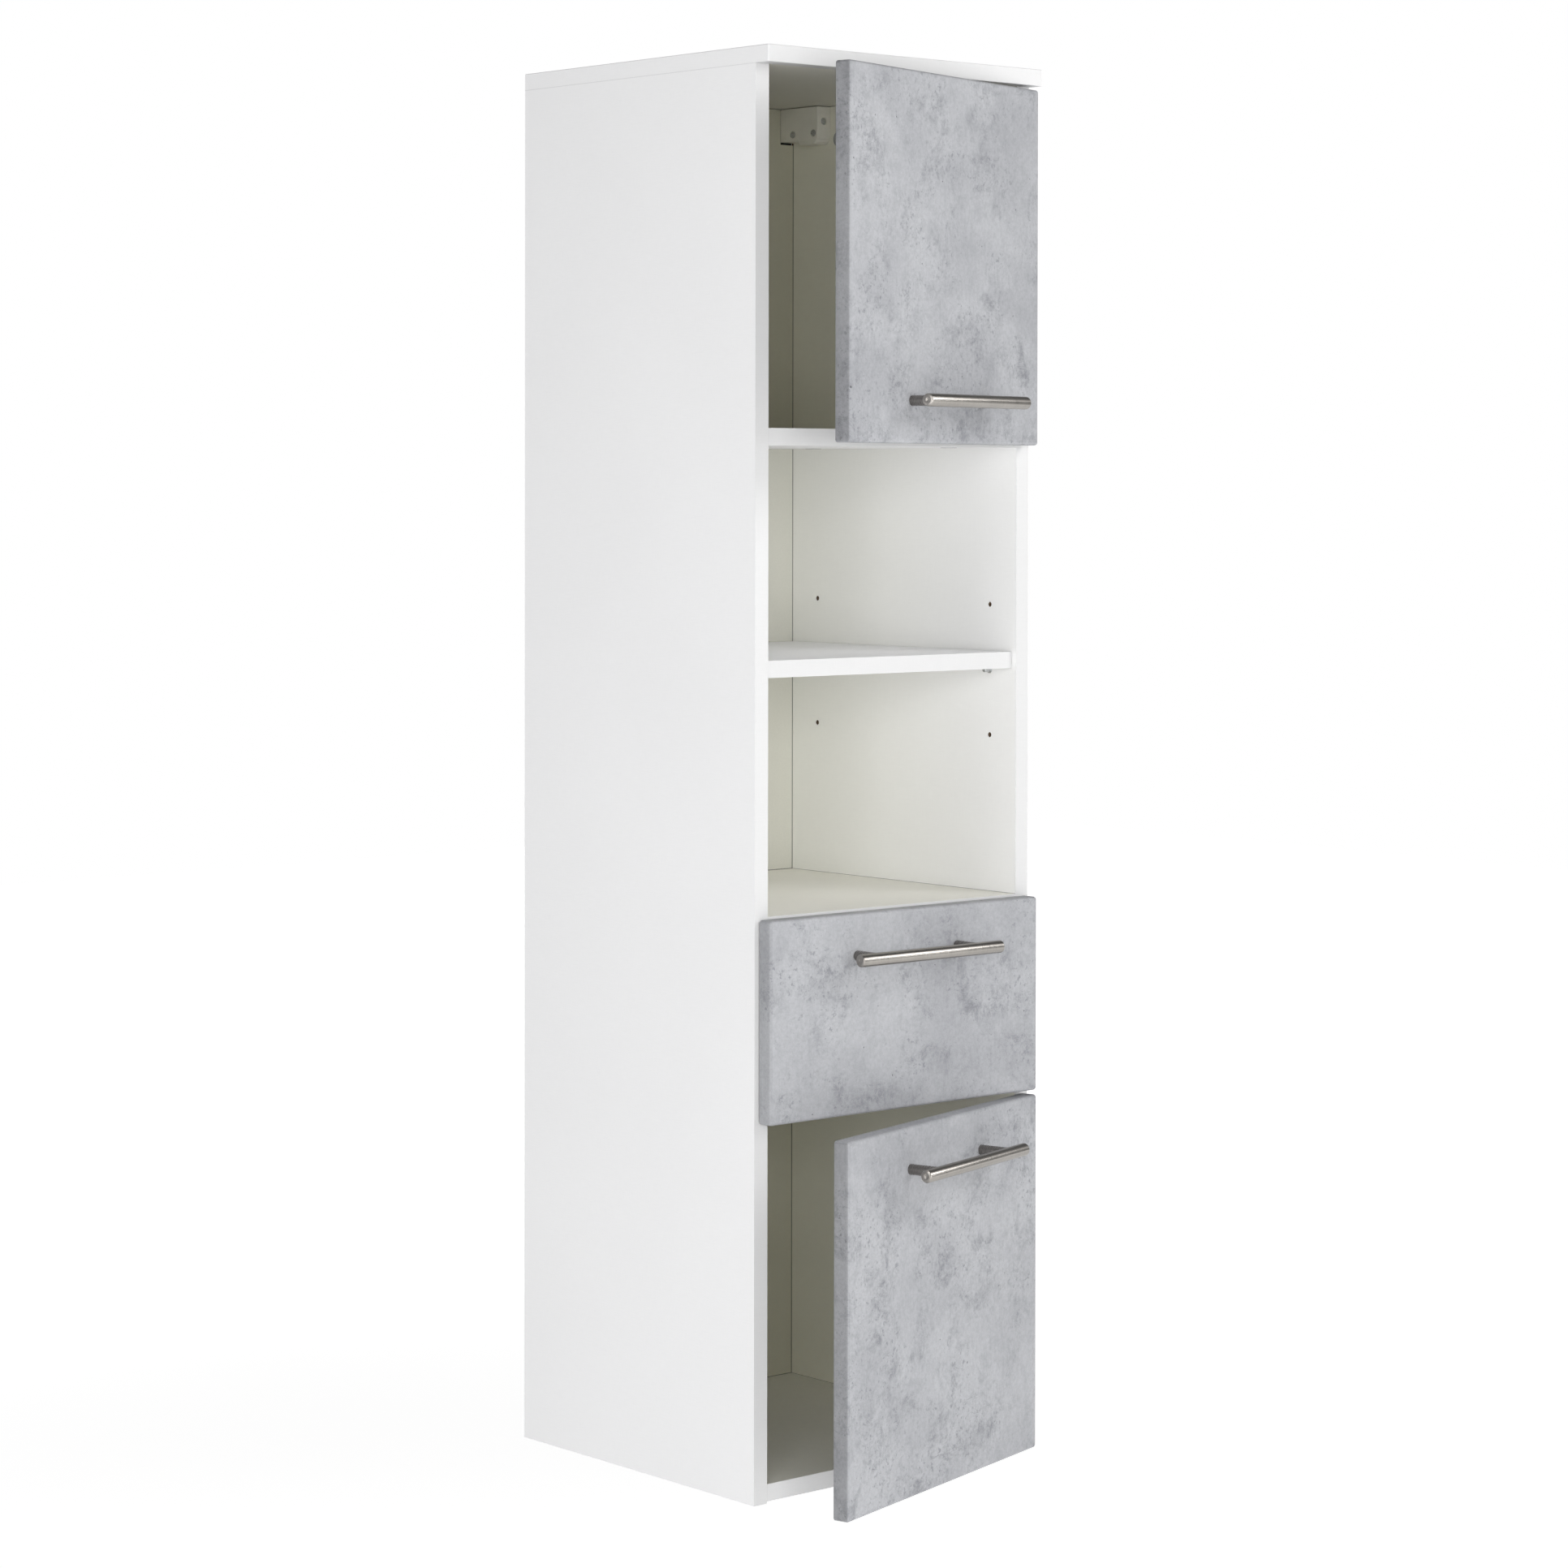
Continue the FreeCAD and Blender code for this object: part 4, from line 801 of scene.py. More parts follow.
def front_board(node, material):
    """Pressed board with rounded corners and face, and bores for its hinges and handle."""
    look = settings()
    body = FRONTS[node]
    low, high = box_of(node)
    board = cuboid(body + "_facing", low, high)
    with Editing(board) as edit:
        edit.bevel(along(Y), look.front_rounding, 6)
        edit.bevel(at_level(Y, low.y), look.front_rounding, 6)
        edit.bevel(at_level(Y, high.y), look.front_arris, 6)
    for bolt in solids_of(body + "_handle_screws"):
        cut(board, cylinder("bore", look.bolt_bore, (bolt[1] - bolt[0]).y, middle(*bolt), OUT, 24))
    if body in DOORS:
        for spot in ("top", "bottom"):
            hinge_bore(board, high.y, *box_of("%s_%s_hinge_cup" % (body, spot)))
    smooth(board, 30)
    finish_piece(board, body, "concrete_decor", material, node)


def handle_bar(body, material):
    """Round bar with turned ends: a bevel, a flat and a shallow centre."""
    low, high = box_of(body + "_handle_bar")
    radius = (high.z - low.z) / 2
    bar = cylinder(body + "_handle_grip", radius, high.x - low.x, middle(low, high), RIGHT, 64)
    with Editing(bar) as edit:
        edit.bevel(across(X), settings().bar_bevel, 2)
        edit.pick("faces", at_end)
        bpy.ops.mesh.inset(thickness=radius * 0.62)
        bpy.ops.mesh.inset(thickness=radius * 0.08, depth=-radius * 0.03)
    smooth(bar)
    finish_piece(bar, body, "brushed_metal", material, body + "_handle_bar")


def handle_posts(body, material):
    """Two posts, hollowed where the bar lies in them and bevelled where they meet the front."""
    bar_low, bar_high = box_of(body + "_handle_bar")
    bar, size = middle(bar_low, bar_high), bar_high - bar_low
    posts = []
    for low, high in solids_of(body + "_handle_posts"):
        centre = middle(low, high)
        centre.y = (high.y + bar.y) / 2
        post = cylinder("post", (high.x - low.x) / 2, high.y - bar.y, centre, OUT)
        cut(post, cylinder("saddle", size.z / 2, size.x, bar, RIGHT, 64))
        bevel(post, at_level(Y, high.y), settings().post_bevel, 2)
        posts.append(post)
    pair = joined(posts, body + "_handle_stems")
    smooth(pair)
    finish_piece(pair, body, "brushed_metal", material, body + "_handle_posts")


def cam_lock_model():
    """Cam lock with a thin rim over its bore, a cross recess and the pointer beside it."""
    look = settings()
    radius, rim, depth = look.cam_radius, look.cam_rim, look.cam_depth
    cam = cylinder("cam", radius, depth, UP * (-depth / 2))
    with Editing(cam) as edit:
        edit.pick("faces", facing(UP))
        bpy.ops.mesh.extrude_region_move(TRANSFORM_OT_translate={"value": (0, 0, rim)})
        edit.pick("faces", lambda face: face.calc_center_median().z > rim / 4)
        bpy.ops.transform.resize(value=((radius + 2 * rim) / radius,) * 2 + (1,),
                                 center_override=(0, 0, 0))
        edit.pick("faces", facing(UP))
        bpy.ops.mesh.inset(thickness=radius * 0.22)
        bpy.ops.mesh.inset(thickness=radius * 0.04, depth=-rim)
    cut(cam, cylinder("pointer", radius * 0.16, depth / 3, Vector((0, radius * 0.72, 0)), UP, 3))
    cross_recess(cam, radius * 1.1, depth / 4)
    smooth(cam, 40)
    return cam


def shelf_pin_model(collar, sink, reach):
    """Pin whose collar rests on the panel at the origin, pointing up out of the panel."""
    look = settings()
    pin = cylinder("pin", look.pin_radius, sink + reach, UP * (reach - sink) / 2, sides=32)
    bevel(pin, across(Z), look.pin_radius * 0.3, 3)
    ring = cylinder("collar", collar, look.collar_height, UP * look.collar_height / 2, sides=32)
    soften(ring, look.fine_edge)
    unite(pin, ring)
    smooth(pin, 40)
    return pin


def hook_slot(side):
    """Space round the hook, open at the rear of its housing."""
    boxes = solids_of("hanger_hooks")
    low, high = boxes[0] if side == "left" else boxes[-1]
    play = settings().hook_play
    rear = box_of(side + "_hanger_housing")[1].y + CLEAR
    return low - Vector((play, play, play)), Vector((high.x + play, rear, high.z + play))


def hanger_housing(side, material):
    """Moulded housing: rounded body, foot with its bevels, and sunk seats for the screws."""
    look = settings()
    node = side + "_hanger_housing"
    low, high = box_of(node)
    case = cuboid(side + "_hanger_case", low + UP * look.hanger_foot,
                  high - UP * look.hanger_gap)
    front = low.y + look.hanger_foot_front
    foot = cuboid("foot", Vector((low.x, front, low.z)),
                  Vector((high.x, front + look.hanger_foot_length,
                          low.z + 3 * look.hanger_foot)))
    bevel(foot, lambda edge: at_level(Z, low.z)(edge) and along(X)(edge),
          look.hanger_foot * 0.7, 1)
    unite(case, foot)
    soften(case, look.hanger_rounding, 3, 30)
    face = high.x if middle(low, high).x < 0 else low.x
    for screws, axis, level, depth, way in (
            ("hanger_fixing_screws", X, face, look.fixing_seat, RIGHT),
            ("hanger_adjusting_screws", Y, low.y, look.adjusting_seat, OUT)):
        for box in solids_of(screws):
            spot = middle(*box)
            if spot.x * face > 0:
                spot[axis] = level
                cut(case, cylinder("seat", look.hanger_seat, depth, spot, way, 32))
    cut(case, cuboid("slot", *hook_slot(side)))
    smooth(case, 30)
    finish_piece(case, "carcass", "white_plastic", material, node)


def notch_shade_sheet(side, material):
    """Near-black foam sheet over the notch in the back panel, painted shade in the hole, with a
    slit for the hook and soft edges.
    """
    look = settings()
    low, high = box_of(side + "_hanger_housing")
    rear = box_of("back_panel")[1].y
    foam = cuboid(side + "_hanger_seal", Vector((low.x, rear, low.z - look.seal_margin)),
                  Vector((high.x, rear + look.seal, high.z)))
    slit_low, slit_high = hook_slot(side)
    slit_high.y = rear + look.seal + CLEAR
    cut(foam, cuboid("slit", slit_low, slit_high))
    soften(foam, look.seal / 4, 2)
    smooth(foam, 30)
    finish_piece(foam, "carcass", "bumper_felt", material)


def hinge_cup(door, spot, material):
    """Cup with its flange, rim, pin housing and floor, let into the back of a door."""
    look = settings()
    node = "%s_%s_hinge_cup" % (door, spot)
    low, high = box_of(node)
    radius, flange, wall = look.cup_radius, look.hinge_flange, look.cup_wall
    back, half_way = high.y - flange, middle(low, high).y
    centre = Vector((low.x + radius, 0, middle(low, high).z))
    cup = cylinder(node + "_shell", radius, back - low.y,
                   Vector((centre.x, half_way - flange / 2, centre.z)), OUT, 64)
    rim = cylinder("rim", radius + look.cup_rim, flange,
                   Vector((centre.x, back + flange / 2, centre.z)), OUT, 64)
    left = centre.x - look.flange_width / 2 + look.flange_offset
    right = centre.x + look.flange_width / 2 + look.flange_offset
    wings = cuboid("wings", Vector((left, back, low.z)), Vector((right, high.y, high.z)))
    bevel(wings, along(Y), look.flange_corner, 6)
    unite(wings, rim)
    unite(cup, cuboid("ears", Vector((centre.x, low.y, centre.z - look.ear_half)),
                      Vector((high.x, back, centre.z + look.ear_half))))
    unite(cup, wings)
    cut(cup, cylinder("hollow", radius - wall, high.y - low.y,
                      Vector((centre.x, half_way + wall, centre.z)), OUT, 64))
    cut(cup, cuboid("way", Vector((centre.x, low.y + wall, centre.z - look.way_half)),
                    Vector((high.x - look.way_wall, high.y + CLEAR,
                            centre.z + look.way_half))))
    soften(cup, look.fine_edge, 2, 40)
    smooth(cup)
    finish_piece(cup, door, "zinc_steel", material, node)


def roller_wheel(node, material):
    """Nylon wheels with a rounded tread, a hub and holes that show their turning."""
    look = settings()
    wheels = []
    for low, high in solids_of(node):
        centre, radius = middle(low, high), (high.z - low.z) / 2
        wheel = cylinder("wheel", radius, high.x - low.x, centre, RIGHT)
        with Editing(wheel) as edit:
            edit.bevel(across(X), look.tread_rounding, 3)
            edit.pick("faces", at_end)
            bpy.ops.mesh.inset(thickness=radius * 0.14)
            bpy.ops.mesh.inset(thickness=radius * 0.05, depth=-look.wheel_recess)
        cut(wheel, cylinder("bore", look.axle_radius, 2 * radius, centre, RIGHT, 32))
        for turn in range(5):
            angle = math.tau * turn / 5
            spot = centre + Vector((0, math.cos(angle), math.sin(angle))) * radius * 0.55
            cut(wheel, cylinder("hole", radius * 0.12, 2 * radius, spot, RIGHT, 16))
        wheels.append(wheel)
    pair = joined(wheels, node.replace("rollers", "wheels"))
    smooth(pair)
    finish_piece(pair, body_of(node), "roller_plastic", material, node)


def bumper_pads(door, material):
    """Round felt pads with a soft edge."""
    pads = []
    for low, high in solids_of(door + "_bumpers"):
        pad = cylinder("pad", (high.x - low.x) / 2, high.y - low.y, middle(low, high), OUT, 40)
        bevel(pad, at_level(Y, high.y), settings().pad_rounding, 3)
        pads.append(pad)
    pair = joined(pads, door + "_pads")
    smooth(pair, 40)
    finish_piece(pair, door, "bumper_felt", material, door + "_bumpers")


# What a user can change

def tint(name, description, default):
    return bpy.props.FloatVectorProperty(name=name, description=description, subtype="COLOR",
                                         size=3, min=0, max=1, default=default)


def mm(name, description, default):
    """Length given in millimetres."""
    return bpy.props.FloatProperty(name=name, description=description, unit="LENGTH",
                                   default=default * MM, precision=4)


def share(name, description, default):
    """Number from 0 to 1."""
    return bpy.props.FloatProperty(name=name, description=description, subtype="FACTOR",
                                   min=0, max=1, default=default)


class CabinetLooks(bpy.types.PropertyGroup):
    """Colours of the finishes, some of them with painted light and shade, and sizes of the
    fittings, in millimetres.
    """

    melamine: tint("Melamine", "White boards outside", (0.85, 0.85, 0.855))
    # Painted shade: darker copies of the white melamine for the boards' front edge bands
    edging: tint("Edging", "Front edges of the white boards", (0.72, 0.72, 0.72))
    top_edge_band_shade: tint("Top edging", "Front edge of the top panel", (0.73, 0.73, 0.73))
    # Painted light: lighter copies of the white melamine for the walls, shelf and floors inside
    melamine_inside: tint("Melamine inside", "Walls at the front", (0.905, 0.905, 0.90))
    melamine_deep: tint("Melamine deep inside", "Walls at the rear", (0.945, 0.945, 0.90))
    melamine_level: tint("Melamine, level", "Shelf and floors", (0.955, 0.955, 0.965))
    # Painted warm shade on the boards in the closed compartments
    shut_shade_tint: tint("Behind doors", "Tint of the boards there", (1.0, 0.985, 0.90))
    hardboard: tint("Hardboard", "Back panel and drawer bottom", (0.73, 0.725, 0.65))
    # Chipboard's own brown, darkened further as painted shade in the bores
    chipboard_and_bore_shade: tint("Chipboard", "Core of the boards in bores", (0.20, 0.13, 0.08))
    concrete: tint("Concrete", "Fronts, base tone", (0.402, 0.408, 0.430))
    concrete_pale: tint("Concrete, pale", "Fronts, pale clouds", (0.474, 0.481, 0.502))
    concrete_dark: tint("Concrete, dark", "Fronts, smudges", (0.165, 0.17, 0.19))
    concrete_pit: tint("Concrete, pits", "Fronts, pits", (0.07, 0.07, 0.08))
    # Painted shade on the sides of the doors and the drawer front
    door_side_shade: share("Door edge", "Tone of the doors' sides", 0.56)
    drawer_side_shade: share("Drawer edge", "Tone of the drawer front's sides", 0.83)
    # Painted shade over the whole drawer front
    drawer_front_shade: share("Drawer tone", "Tone of the drawer front", 0.93)
    # Painted shade on the rounded edges of the fronts
    rounding_shade: share("Edge wear", "Tone of the rounded edges", 0.84)
    steel: tint("Brushed metal", "Bars of the handles", (0.36, 0.34, 0.315))
    # Painted shade: the bars' steel made darker for the posts
    post_steel: tint("Post metal", "Posts of the handles", (0.26, 0.245, 0.23))
    brushing: share("Brushing", "Spread of the handles' shine", 0.9)
    zinc: tint("Zinc", "Screws, hinges, rail", (0.56, 0.57, 0.58))
    cast_zinc: tint("Cast zinc", "Cam locks", (0.40, 0.40, 0.41))
    plastic: tint("Plastic", "Hanger housings", (0.94, 0.925, 0.84))
    nylon: tint("Nylon", "Rollers", (0.78, 0.78, 0.75))
    runner_paint: tint("Runner paint", "Runners", (0.80, 0.80, 0.79))
    felt: tint("Felt", "Bumpers", (0.62, 0.61, 0.58))
    # Painted shade: near-black foam standing in for the shade in the back panel's notches
    foam: tint("Foam", "Seals behind the hangers", (0.035, 0.034, 0.032))
    beech: tint("Beech", "Dowels", (0.60, 0.43, 0.26))
    edging_thickness: mm("Edging thickness", "On the boards' front edges", 0.4)
    foil_thickness: mm("Foil", "Depth at which the core shows", 0.8)
    # Widths of the dark joints, painted shade in the gaps between boards
    wall_seam: mm("Wall seam", "Lines where boards meet the walls", 0.6)
    back_seam: mm("Back seam", "Lines where boards meet the back panel", 0.9)
    outer_seam: mm("Outer seam", "Lines between the boards outside", 0.5)
    relief: mm("Relief", "Depth of the fine textures", 0.05)
    concrete_relief: mm("Concrete relief", "Depth of the pits", 0.08)
    steel_relief: mm("Steel relief", "Depth of the strokes", 0.03)
    felt_relief: mm("Felt relief", "Depth of the fibres", 0.15)
    pit_wobble: mm("Pit wobble", "Raggedness of the pits", 2.2)
    front_rounding: mm("Front rounding", "Corners and face of the fronts", 3)
    front_arris: mm("Front arris", "Rounding at the back of the fronts", 1)
    bolt_bore: mm("Bolt bore", "Bores for the handles' bolts", 2.3)
    bar_bevel: mm("Bar bevel", "Bevel on the ends of the handles", 1)
    post_bevel: mm("Post bevel", "Bevel at the foot of each post", 0.4)
    cam_radius: mm("Cam radius", "Cam locks", 7.5)
    cam_depth: mm("Cam depth", "Cam locks", 12.5)
    cam_rim: mm("Cam rim", "Rim of the cam locks above the board", 0.3)
    pin_radius: mm("Pin radius", "Shelf pins", 2.5)
    collar_height: mm("Collar height", "Collar of the shelf pins", 0.8)
    fine_edge: mm("Fine edge", "Edges of collars and hinge cups", 0.25)
    hanger_gap: mm("Hanger gap", "Housing below the top panel", 0.7)
    hanger_foot: mm("Hanger foot", "Height of the foot", 4.5)
    hanger_foot_front: mm("Hanger foot front", "Foot behind the front", 2)
    hanger_foot_length: mm("Hanger foot length", "Foot from front to rear", 28)
    hanger_rounding: mm("Hanger rounding", "Edges of the housing", 0.8)
    hanger_seat: mm("Hanger seats", "Radius of the seats round the screws", 3.9)
    fixing_seat: mm("Fixing seats", "Length of the cut round a fixing screw", 2.4)
    adjusting_seat: mm("Adjusting seats", "Length of the cut round its screw", 3)
    hook_play: mm("Hook play", "Space round the hook", 0.4)
    seal: mm("Hanger seal", "Foam behind the back panel's notches", 2)
    seal_margin: mm("Seal margin", "Foam below the housing", 5)
    cup_radius: mm("Cup radius", "Hinge cups", 17.4)
    cup_wall: mm("Cup wall", "Hinge cups", 1.1)
    cup_rim: mm("Cup rim", "Width of the rim round the cup", 0.8)
    cup_play: mm("Cup play", "Space round the cup", 0.1)
    hinge_flange: mm("Hinge flange", "Thickness of the flange", 1.2)
    flange_width: mm("Flange width", "Hinge flange", 27)
    flange_corner: mm("Flange corner", "Rounding of the flange", 6)
    flange_offset: mm("Flange offset", "Flange from the middle of the cup", 1)
    ear_half: mm("Ear", "Half height of the pin housing", 8)
    way_half: mm("Way", "Half height of the arm's way in", 5.2)
    way_wall: mm("Way wall", "Wall at the end of the way", 0.8)
    axle_radius: mm("Axle bore", "Bore of the rollers", 2.28)
    tread_rounding: mm("Tread rounding", "Edges of the rollers", 0.7)
    wheel_recess: mm("Wheel recess", "Depth of the rollers' faces", 0.6)
    pad_rounding: mm("Pad rounding", "Edges of the bumpers", 0.6)


class CabinetStudio(bpy.types.PropertyGroup):
    """Camera, floor and lights."""

    camera_place: bpy.props.FloatVectorProperty(
        name="Camera", description="Where the camera stands", subtype="TRANSLATION", size=3,
        unit="LENGTH", default=(-2.53844, -3.12539, -0.34638))
    camera_turn: bpy.props.FloatVectorProperty(
        name="Camera turn", description="Tilt, roll and heading", subtype="EULER", size=3,
        unit="ROTATION", default=(math.radians(89.3009), 0, math.radians(-40.8336)))
    camera_roll: bpy.props.FloatProperty(
        name="Roll", description="Turn of the camera about its view", unit="ROTATION",
        default=math.radians(0.0833))
    lens: bpy.props.FloatProperty(name="Lens", description="Focal length", unit="CAMERA",
                                  default=91.095)
    film: bpy.props.FloatProperty(name="Film", description="Width of the film", unit="CAMERA",
                                  default=36)
    shift: bpy.props.FloatProperty(name="Shift", description="Vertical shift of the lens",
                                   default=-0.16202)
    view_start: mm("View start", "Nearest that the camera sees", 50)
    view_end: mm("View end", "Farthest that the camera sees", 60000)
    floor_colour: tint("Floor", "Pale floor", (0.62, 0.62, 0.62))
    floor_size: mm("Floor size", "Width and depth of the floor", 16000)
    floor_drop: mm("Floor drop", "Floor below the cabinet", 340)
    floor_bounce: share("Floor bounce", "Light from the floor", 0.45)
    floor_glow: share("Floor glow", "Whiteness of the floor near the cabinet", 0.75)
    glow_start: mm("Glow start", "Where the floor starts to whiten", 1200)
    glow_end: mm("Glow end", "Where the floor is white", 4000)
    sky: share("Sky", "Light from all round", 0.20)
    light: bpy.props.FloatProperty(name="Light", description="Strength of all lamps", default=1)
    lamp_distance: mm("Lamp distance", "Lamps from the cabinet's middle", 3900)


# Operators

class CABINET_OT_boards(bpy.types.Operator):
    """Finish the boards of the cabinet, its back and the drawer's boards"""

    bl_idname = "cabinet.boards"
    bl_label = "Boards"

    def execute(self, context):
        for node, seam in BOARD_SEAMS.items():
            give(node, board_finish(node, seam))
        give("back_panel", back_finish())
        give("drawer_bottom", moulded_finish("drawer_hardboard", settings().hardboard,
                                             grain=700, rough=(0.5, 0.62), relief=0.2))
        return {"FINISHED"}


class CABINET_OT_fronts(bpy.types.Operator):
    """Model the boards of the doors and the drawer front"""

    bl_idname = "cabinet.fronts"
    bl_label = "Fronts"

    def execute(self, context):
        for node in FRONTS:
            front_board(node, concrete_finish(node))
        return {"FINISHED"}


class CABINET_OT_metalwork(bpy.types.Operator):
    """Finish the hinge arms and plates, pins, hooks, rail, bolts, dowels and runners"""

    bl_idname = "cabinet.metalwork"
    bl_label = "Metalwork"

    def execute(self, context):
        look = settings()
        zinc = steel_finish("bright_zinc", look.zinc, run=(1500, 160, 1500), rough=(0.26, 0.42))
        plated = [node for node in NODES if node.endswith(("_hinge_arm", "_hinge_plate"))]
        for node in (*plated, "hanger_hooks", "cam_bolts"):
            give(node, zinc)
        give("wall_rail", steel_finish("rolled_zinc", look.zinc, run=(40, 1500, 1500)))
        for door in DOORS:
            give(door + "_hinge_pins", steel_finish(door + "_pin_steel", look.zinc, door,
                                                    run=(1500, 1500, 100)))
        give("dowels", beech_finish())
        paint = moulded_finish("runner_paint", look.runner_paint, grain=1400, rough=(0.28, 0.38))
        for side in ("left", "right"):
            give(side + "_cabinet_runner", paint)
            give(side + "_drawer_runner", paint)
        return {"FINISHED"}


class CABINET_OT_handles(bpy.types.Operator):
    """Model the bars and posts of the three handles"""

    bl_idname = "cabinet.handles"
    bl_label = "Handles"

    def execute(self, context):
        look = settings()
        for body in FRONTS.values():
            bar = steel_finish(body + "_bar_steel", look.steel, body, run=(3200, 60, 60),
                               rough=(0.27, 0.33), relief=0.01, axis=RIGHT)
            # Painted shade: the posts get the bars' steel made darker
            post = steel_finish(body + "_post_steel", look.post_steel, body, run=(60, 3200, 60),
                                rough=(0.24, 0.30), relief=0.01, axis=OUT)
            handle_bar(body, bar)
            handle_posts(body, post)
        return {"FINISHED"}


class CABINET_OT_screws(bpy.types.Operator):
    """Model the screws that show: hinges, hangers, runners and handles"""

    bl_idname = "cabinet.screws"
    bl_label = "Screws"

    def execute(self, context):
        zinc = steel_finish("screw_zinc", settings().zinc, run=(1500, 1500, 1500),
                            rough=(0.22, 0.36))
        for screws in SCREWS:
            add_screws(*screws, zinc)
        return {"FINISHED"}


class CABINET_OT_cam_locks(bpy.types.Operator):
    """Model one cam lock and set it in every bore"""

    bl_idname = "cabinet.cam_locks"
    bl_label = "Cam locks"

    def execute(self, context):
        look = settings()
        places = []
        for low, high in solids_of("cam_locks"):
            depth_axis = min(range(3), key=lambda axis: abs((high - low)[axis] - look.cam_depth))
            way = inwards(low, high) if depth_axis == X else -UP
            places.append((middle(low, high) + way * look.cam_depth / 2, way))
        zinc = moulded_finish("cast_zinc", look.cast_zinc, grain=1200, rough=(0.38, 0.5))
        zinc.node_tree.nodes["Principled BSDF"].inputs["Metallic"].default_value = 1.0
        locks = placed_copies(cam_lock_model(), places, "cam_lock_bodies")
        finish_piece(locks, "carcass", "cast_zinc", zinc, "cam_locks")
        return {"FINISHED"}


class CABINET_OT_shelf_pins(bpy.types.Operator):
    """Model one shelf pin and set it under each corner of the shelf"""

    bl_idname = "cabinet.shelf_pins"
    bl_label = "Shelf pins"

    def execute(self, context):
        face = box_of("right_side_panel")[0].x
        pins = solids_of("shelf_pins")
        low, high = pins[-1]
        model = shelf_pin_model((high.z - low.z) / 2, high.x - face, face - low.x)
        places = []
        for low, high in pins:
            way, centre = inwards(low, high), middle(low, high)
            places.append((Vector((-way.x * face, centre.y, centre.z)), way))
        finish_piece(placed_copies(model, places, "shelf_supports"), "carcass", "zinc_steel",
                     steel_finish("pin_nickel", settings().zinc, run=(1500, 1500, 1500)),
                     "shelf_pins")
        return {"FINISHED"}


class CABINET_OT_hangers(bpy.types.Operator):
    """Model the housings of the two wall hangers and the near-black foam sheets behind them,
    painted shade in the notches
    """

    bl_idname = "cabinet.hangers"
    bl_label = "Hangers"

    def execute(self, context):
        plastic = moulded_finish("hanger_plastic", settings().plastic, grain=1100)
        # Near-black foam, painted shade in the notches behind the hangers
        foam = felt_finish("seal_foam", "carcass", settings().foam)
        for side in ("left", "right"):
            hanger_housing(side, plastic)
            notch_shade_sheet(side, foam)
        return {"FINISHED"}


class CABINET_OT_hinge_cups(bpy.types.Operator):
    """Model the cups of the four hinges"""

    bl_idname = "cabinet.hinge_cups"
    bl_label = "Hinge cups"

    def execute(self, context):
        for door in DOORS:
            zinc = steel_finish(door + "_cup_zinc", settings().zinc, door,
                                run=(1500, 1500, 160), rough=(0.26, 0.42))
            for spot in ("top", "bottom"):
                hinge_cup(door, spot, zinc)
        return {"FINISHED"}


class CABINET_OT_wheels(bpy.types.Operator):
    """Model the rollers of the drawer runners"""

    bl_idname = "cabinet.wheels"
    bl_label = "Rollers"

    def execute(self, context):
        nylon = moulded_finish("roller_nylon", settings().nylon, grain=1300)
        for node in ("front_rollers", "rear_rollers"):
            roller_wheel(node, nylon)
        return {"FINISHED"}


class CABINET_OT_bumpers(bpy.types.Operator):
    """Model the felt pads on the backs of the doors"""

    bl_idname = "cabinet.bumpers"
    bl_label = "Bumpers"

    def execute(self, context):
        for door in DOORS:
            bumper_pads(door, felt_finish(door + "_felt", door, settings().felt))
        return {"FINISHED"}


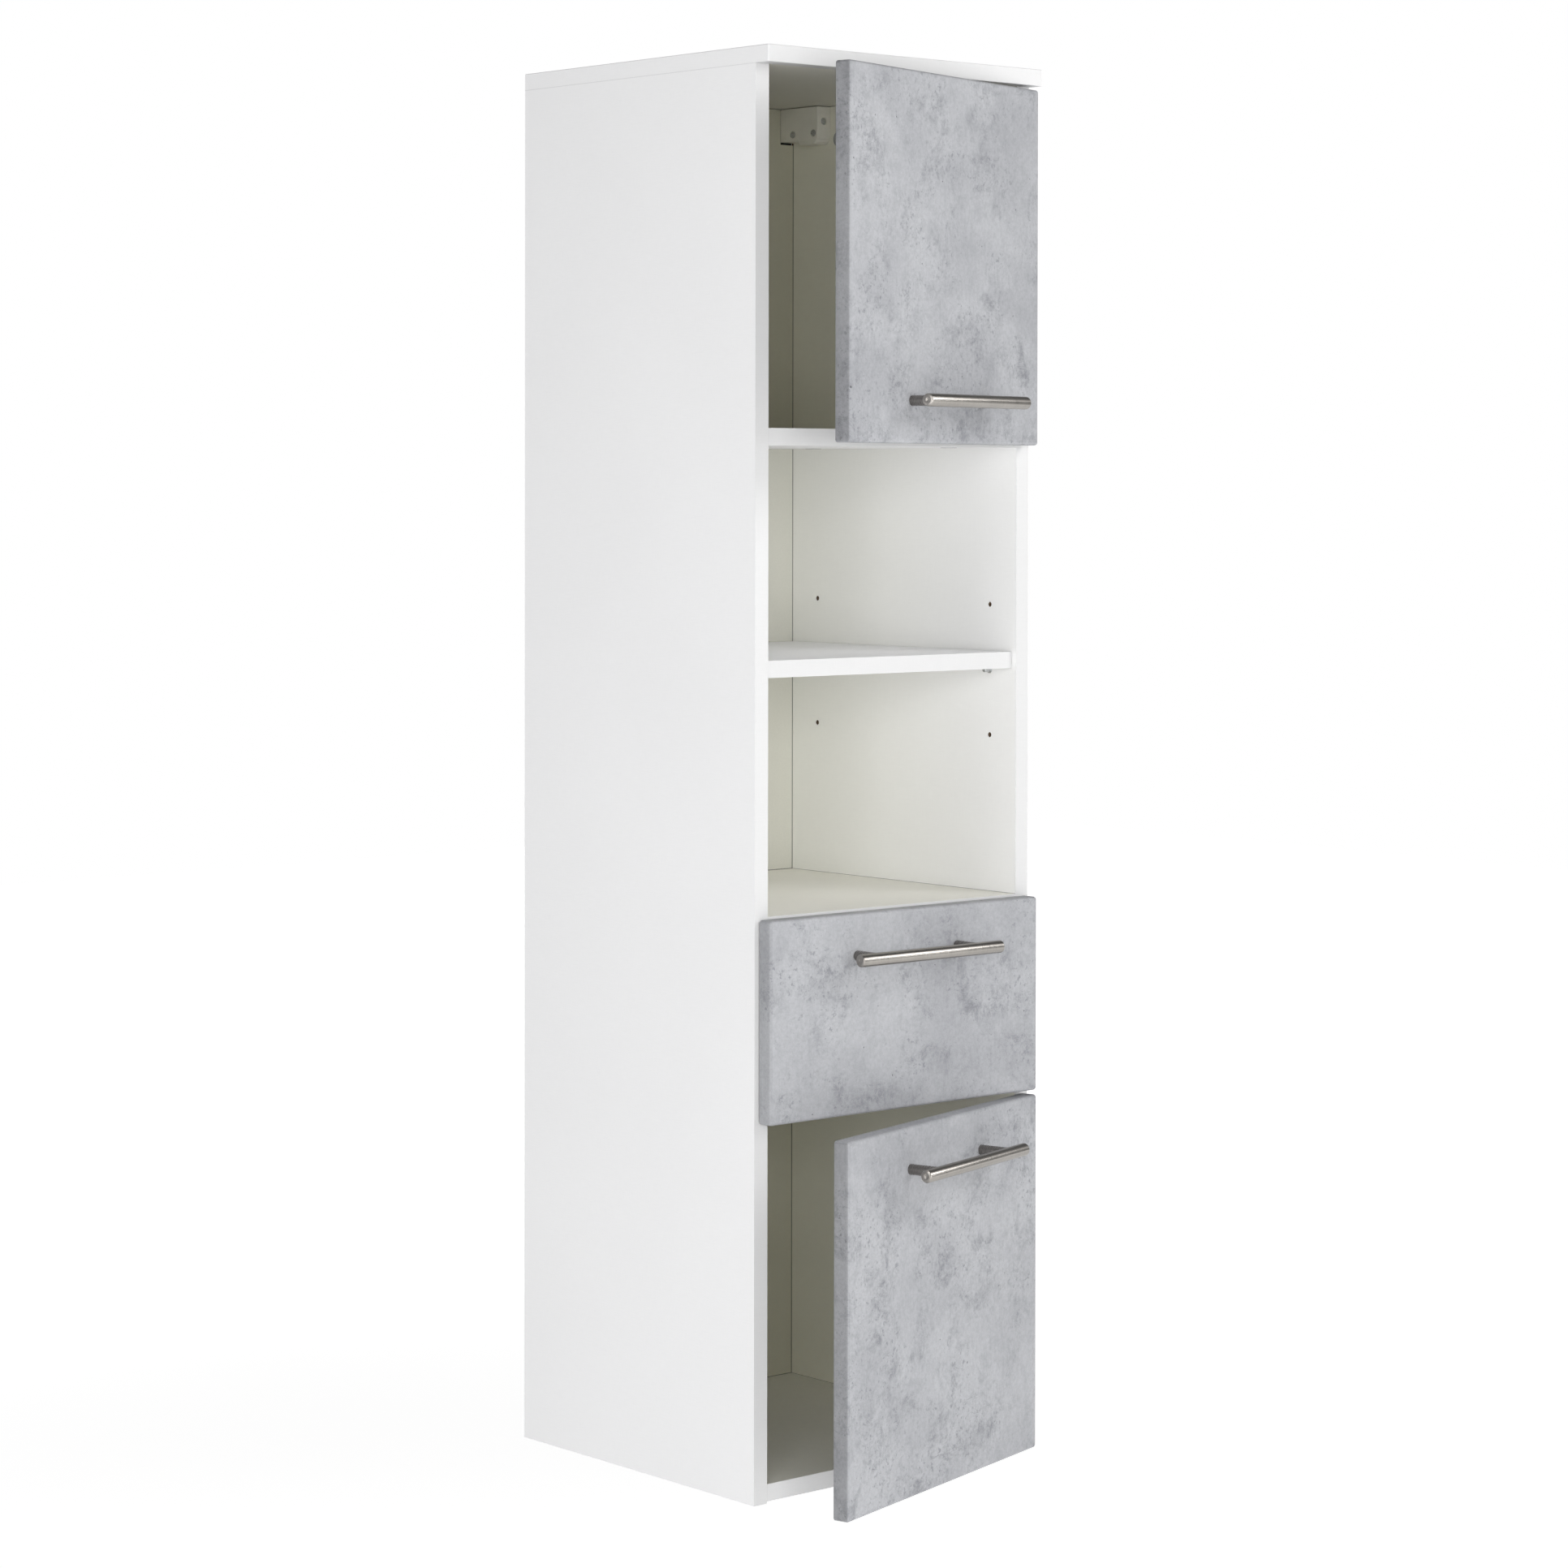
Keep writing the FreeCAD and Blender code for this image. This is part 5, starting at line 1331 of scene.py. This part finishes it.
class CABINET_OT_stage(bpy.types.Operator):
    """Set up the floor, the light and the camera"""

    bl_idname = "cabinet.stage"
    bl_label = "Stage"

    def execute(self, context):
        studio = context.scene.cabinet_studio
        self.floor(studio)
        self.sky(context, studio)
        for name in LAMPS:
            self.lamp(name, studio)
        self.camera(context, studio)
        return {"FINISHED"}

    def floor(self, studio):
        """Pale floor that takes the shadow, and glows so that it fades into the background."""
        deselect()
        bpy.ops.mesh.primitive_plane_add(size=studio.floor_size,
                                         location=(0, 0, CAD_BOX[0].z - studio.floor_drop))
        floor = settled("floor")
        finish = Finish("pale_floor")
        seen = finish.seen_by("Camera", "Glossy", "Transmission")
        far = finish.vector("LENGTH", finish.stretch((1, 1, 0)))
        white = finish.remap(far, studio.glow_start, studio.glow_end, studio.floor_glow, 1.0)
        glow = finish.add("ShaderNodeEmission")
        finish.feed(glow.inputs["Strength"], finish.remap(seen, 0, 1, studio.floor_bounce, white))
        finish.shade(finish.vary(rgba(studio.floor_colour), finish.noise(40, 3), 0.995, 1), 0.9)
        total = finish.fed(finish.add("ShaderNodeAddShader"), finish.shader.outputs[0],
                           glow.outputs[0])
        finish.feed(finish.nodes["Material Output"].inputs["Surface"], total.outputs[0])
        floor.data.materials.append(finish.material)

    def sky(self, context, studio):
        """White behind everything, and a weak light from all round."""
        world = bpy.data.worlds.new("studio")
        world.use_nodes = True
        context.scene.world = world
        graph = Graph(world.node_tree)
        background = graph.nodes["Background"]
        background.inputs["Color"].default_value = rgba((1, 1, 1))
        graph.feed(background.inputs["Strength"],
                   graph.remap(graph.seen_by("Camera", "Transmission"), 0, 1, studio.sky, 1.0))

    def lamp(self, name, studio):
        """Soft box on a ball round the cabinet's middle, which it faces."""
        power, turn, rise, width, height = LAMPS[name]
        turn, rise = math.radians(turn), math.radians(rise)
        away = Vector((-math.sin(turn) * math.cos(rise), -math.cos(turn) * math.cos(rise),
                       math.sin(rise)))
        deselect()
        bpy.ops.object.light_add(type="AREA", rotation=heading(away),
                                 location=middle(*CAD_BOX) + away * studio.lamp_distance)
        lamp = bpy.context.active_object
        lamp.name = name
        lamp.data.shape = "RECTANGLE"
        lamp.data.size, lamp.data.size_y = width, height
        lamp.data.energy = power * studio.light
        lamp.visible_diffuse = name not in SHINE_ONLY

    def camera(self, context, studio):
        deselect()
        bpy.ops.object.camera_add(location=studio.camera_place, rotation=studio.camera_turn)
        camera = context.active_object
        camera.name = "camera"
        roll = Matrix.Rotation(studio.camera_roll, 3, "Z")
        camera.rotation_euler = (camera.rotation_euler.to_matrix() @ roll).to_euler()
        camera.data.sensor_width = studio.film
        camera.data.lens = studio.lens
        camera.data.shift_y = studio.shift
        camera.data.clip_start, camera.data.clip_end = studio.view_start, studio.view_end
        context.scene.camera = camera
        context.scene.view_settings.view_transform = "Standard"


OPERATORS = (CABINET_OT_boards, CABINET_OT_fronts, CABINET_OT_metalwork, CABINET_OT_handles,
             CABINET_OT_hangers, CABINET_OT_screws, CABINET_OT_cam_locks, CABINET_OT_shelf_pins,
             CABINET_OT_hinge_cups, CABINET_OT_wheels, CABINET_OT_bumpers, CABINET_OT_stage)


class CABINET_PT_pieces(bpy.types.Panel):
    """Lists the steps that dress the cabinet"""

    bl_label = "Bathroom cabinet"
    bl_idname = "CABINET_PT_pieces"
    bl_space_type = "VIEW_3D"
    bl_region_type = "UI"
    bl_category = "Cabinet"

    def draw(self, context):
        for operator in OPERATORS:
            self.layout.operator(operator.bl_idname)


CLASSES = (CabinetLooks, CabinetStudio, *OPERATORS, CABINET_PT_pieces)


def register():
    for item in CLASSES:
        bpy.utils.register_class(item)
    bpy.types.Scene.cabinet_looks = bpy.props.PointerProperty(type=CabinetLooks)
    bpy.types.Scene.cabinet_studio = bpy.props.PointerProperty(type=CabinetStudio)


def unregister():
    del bpy.types.Scene.cabinet_studio
    del bpy.types.Scene.cabinet_looks
    for item in reversed(CLASSES):
        bpy.utils.unregister_class(item)


def main():
    """Dress the cabinet step by step."""
    register()
    for operator in OPERATORS:
        step = operator.bl_idname.split(".")[1]
        getattr(bpy.ops.cabinet, step)()


if __name__ == "__main__":
    main()
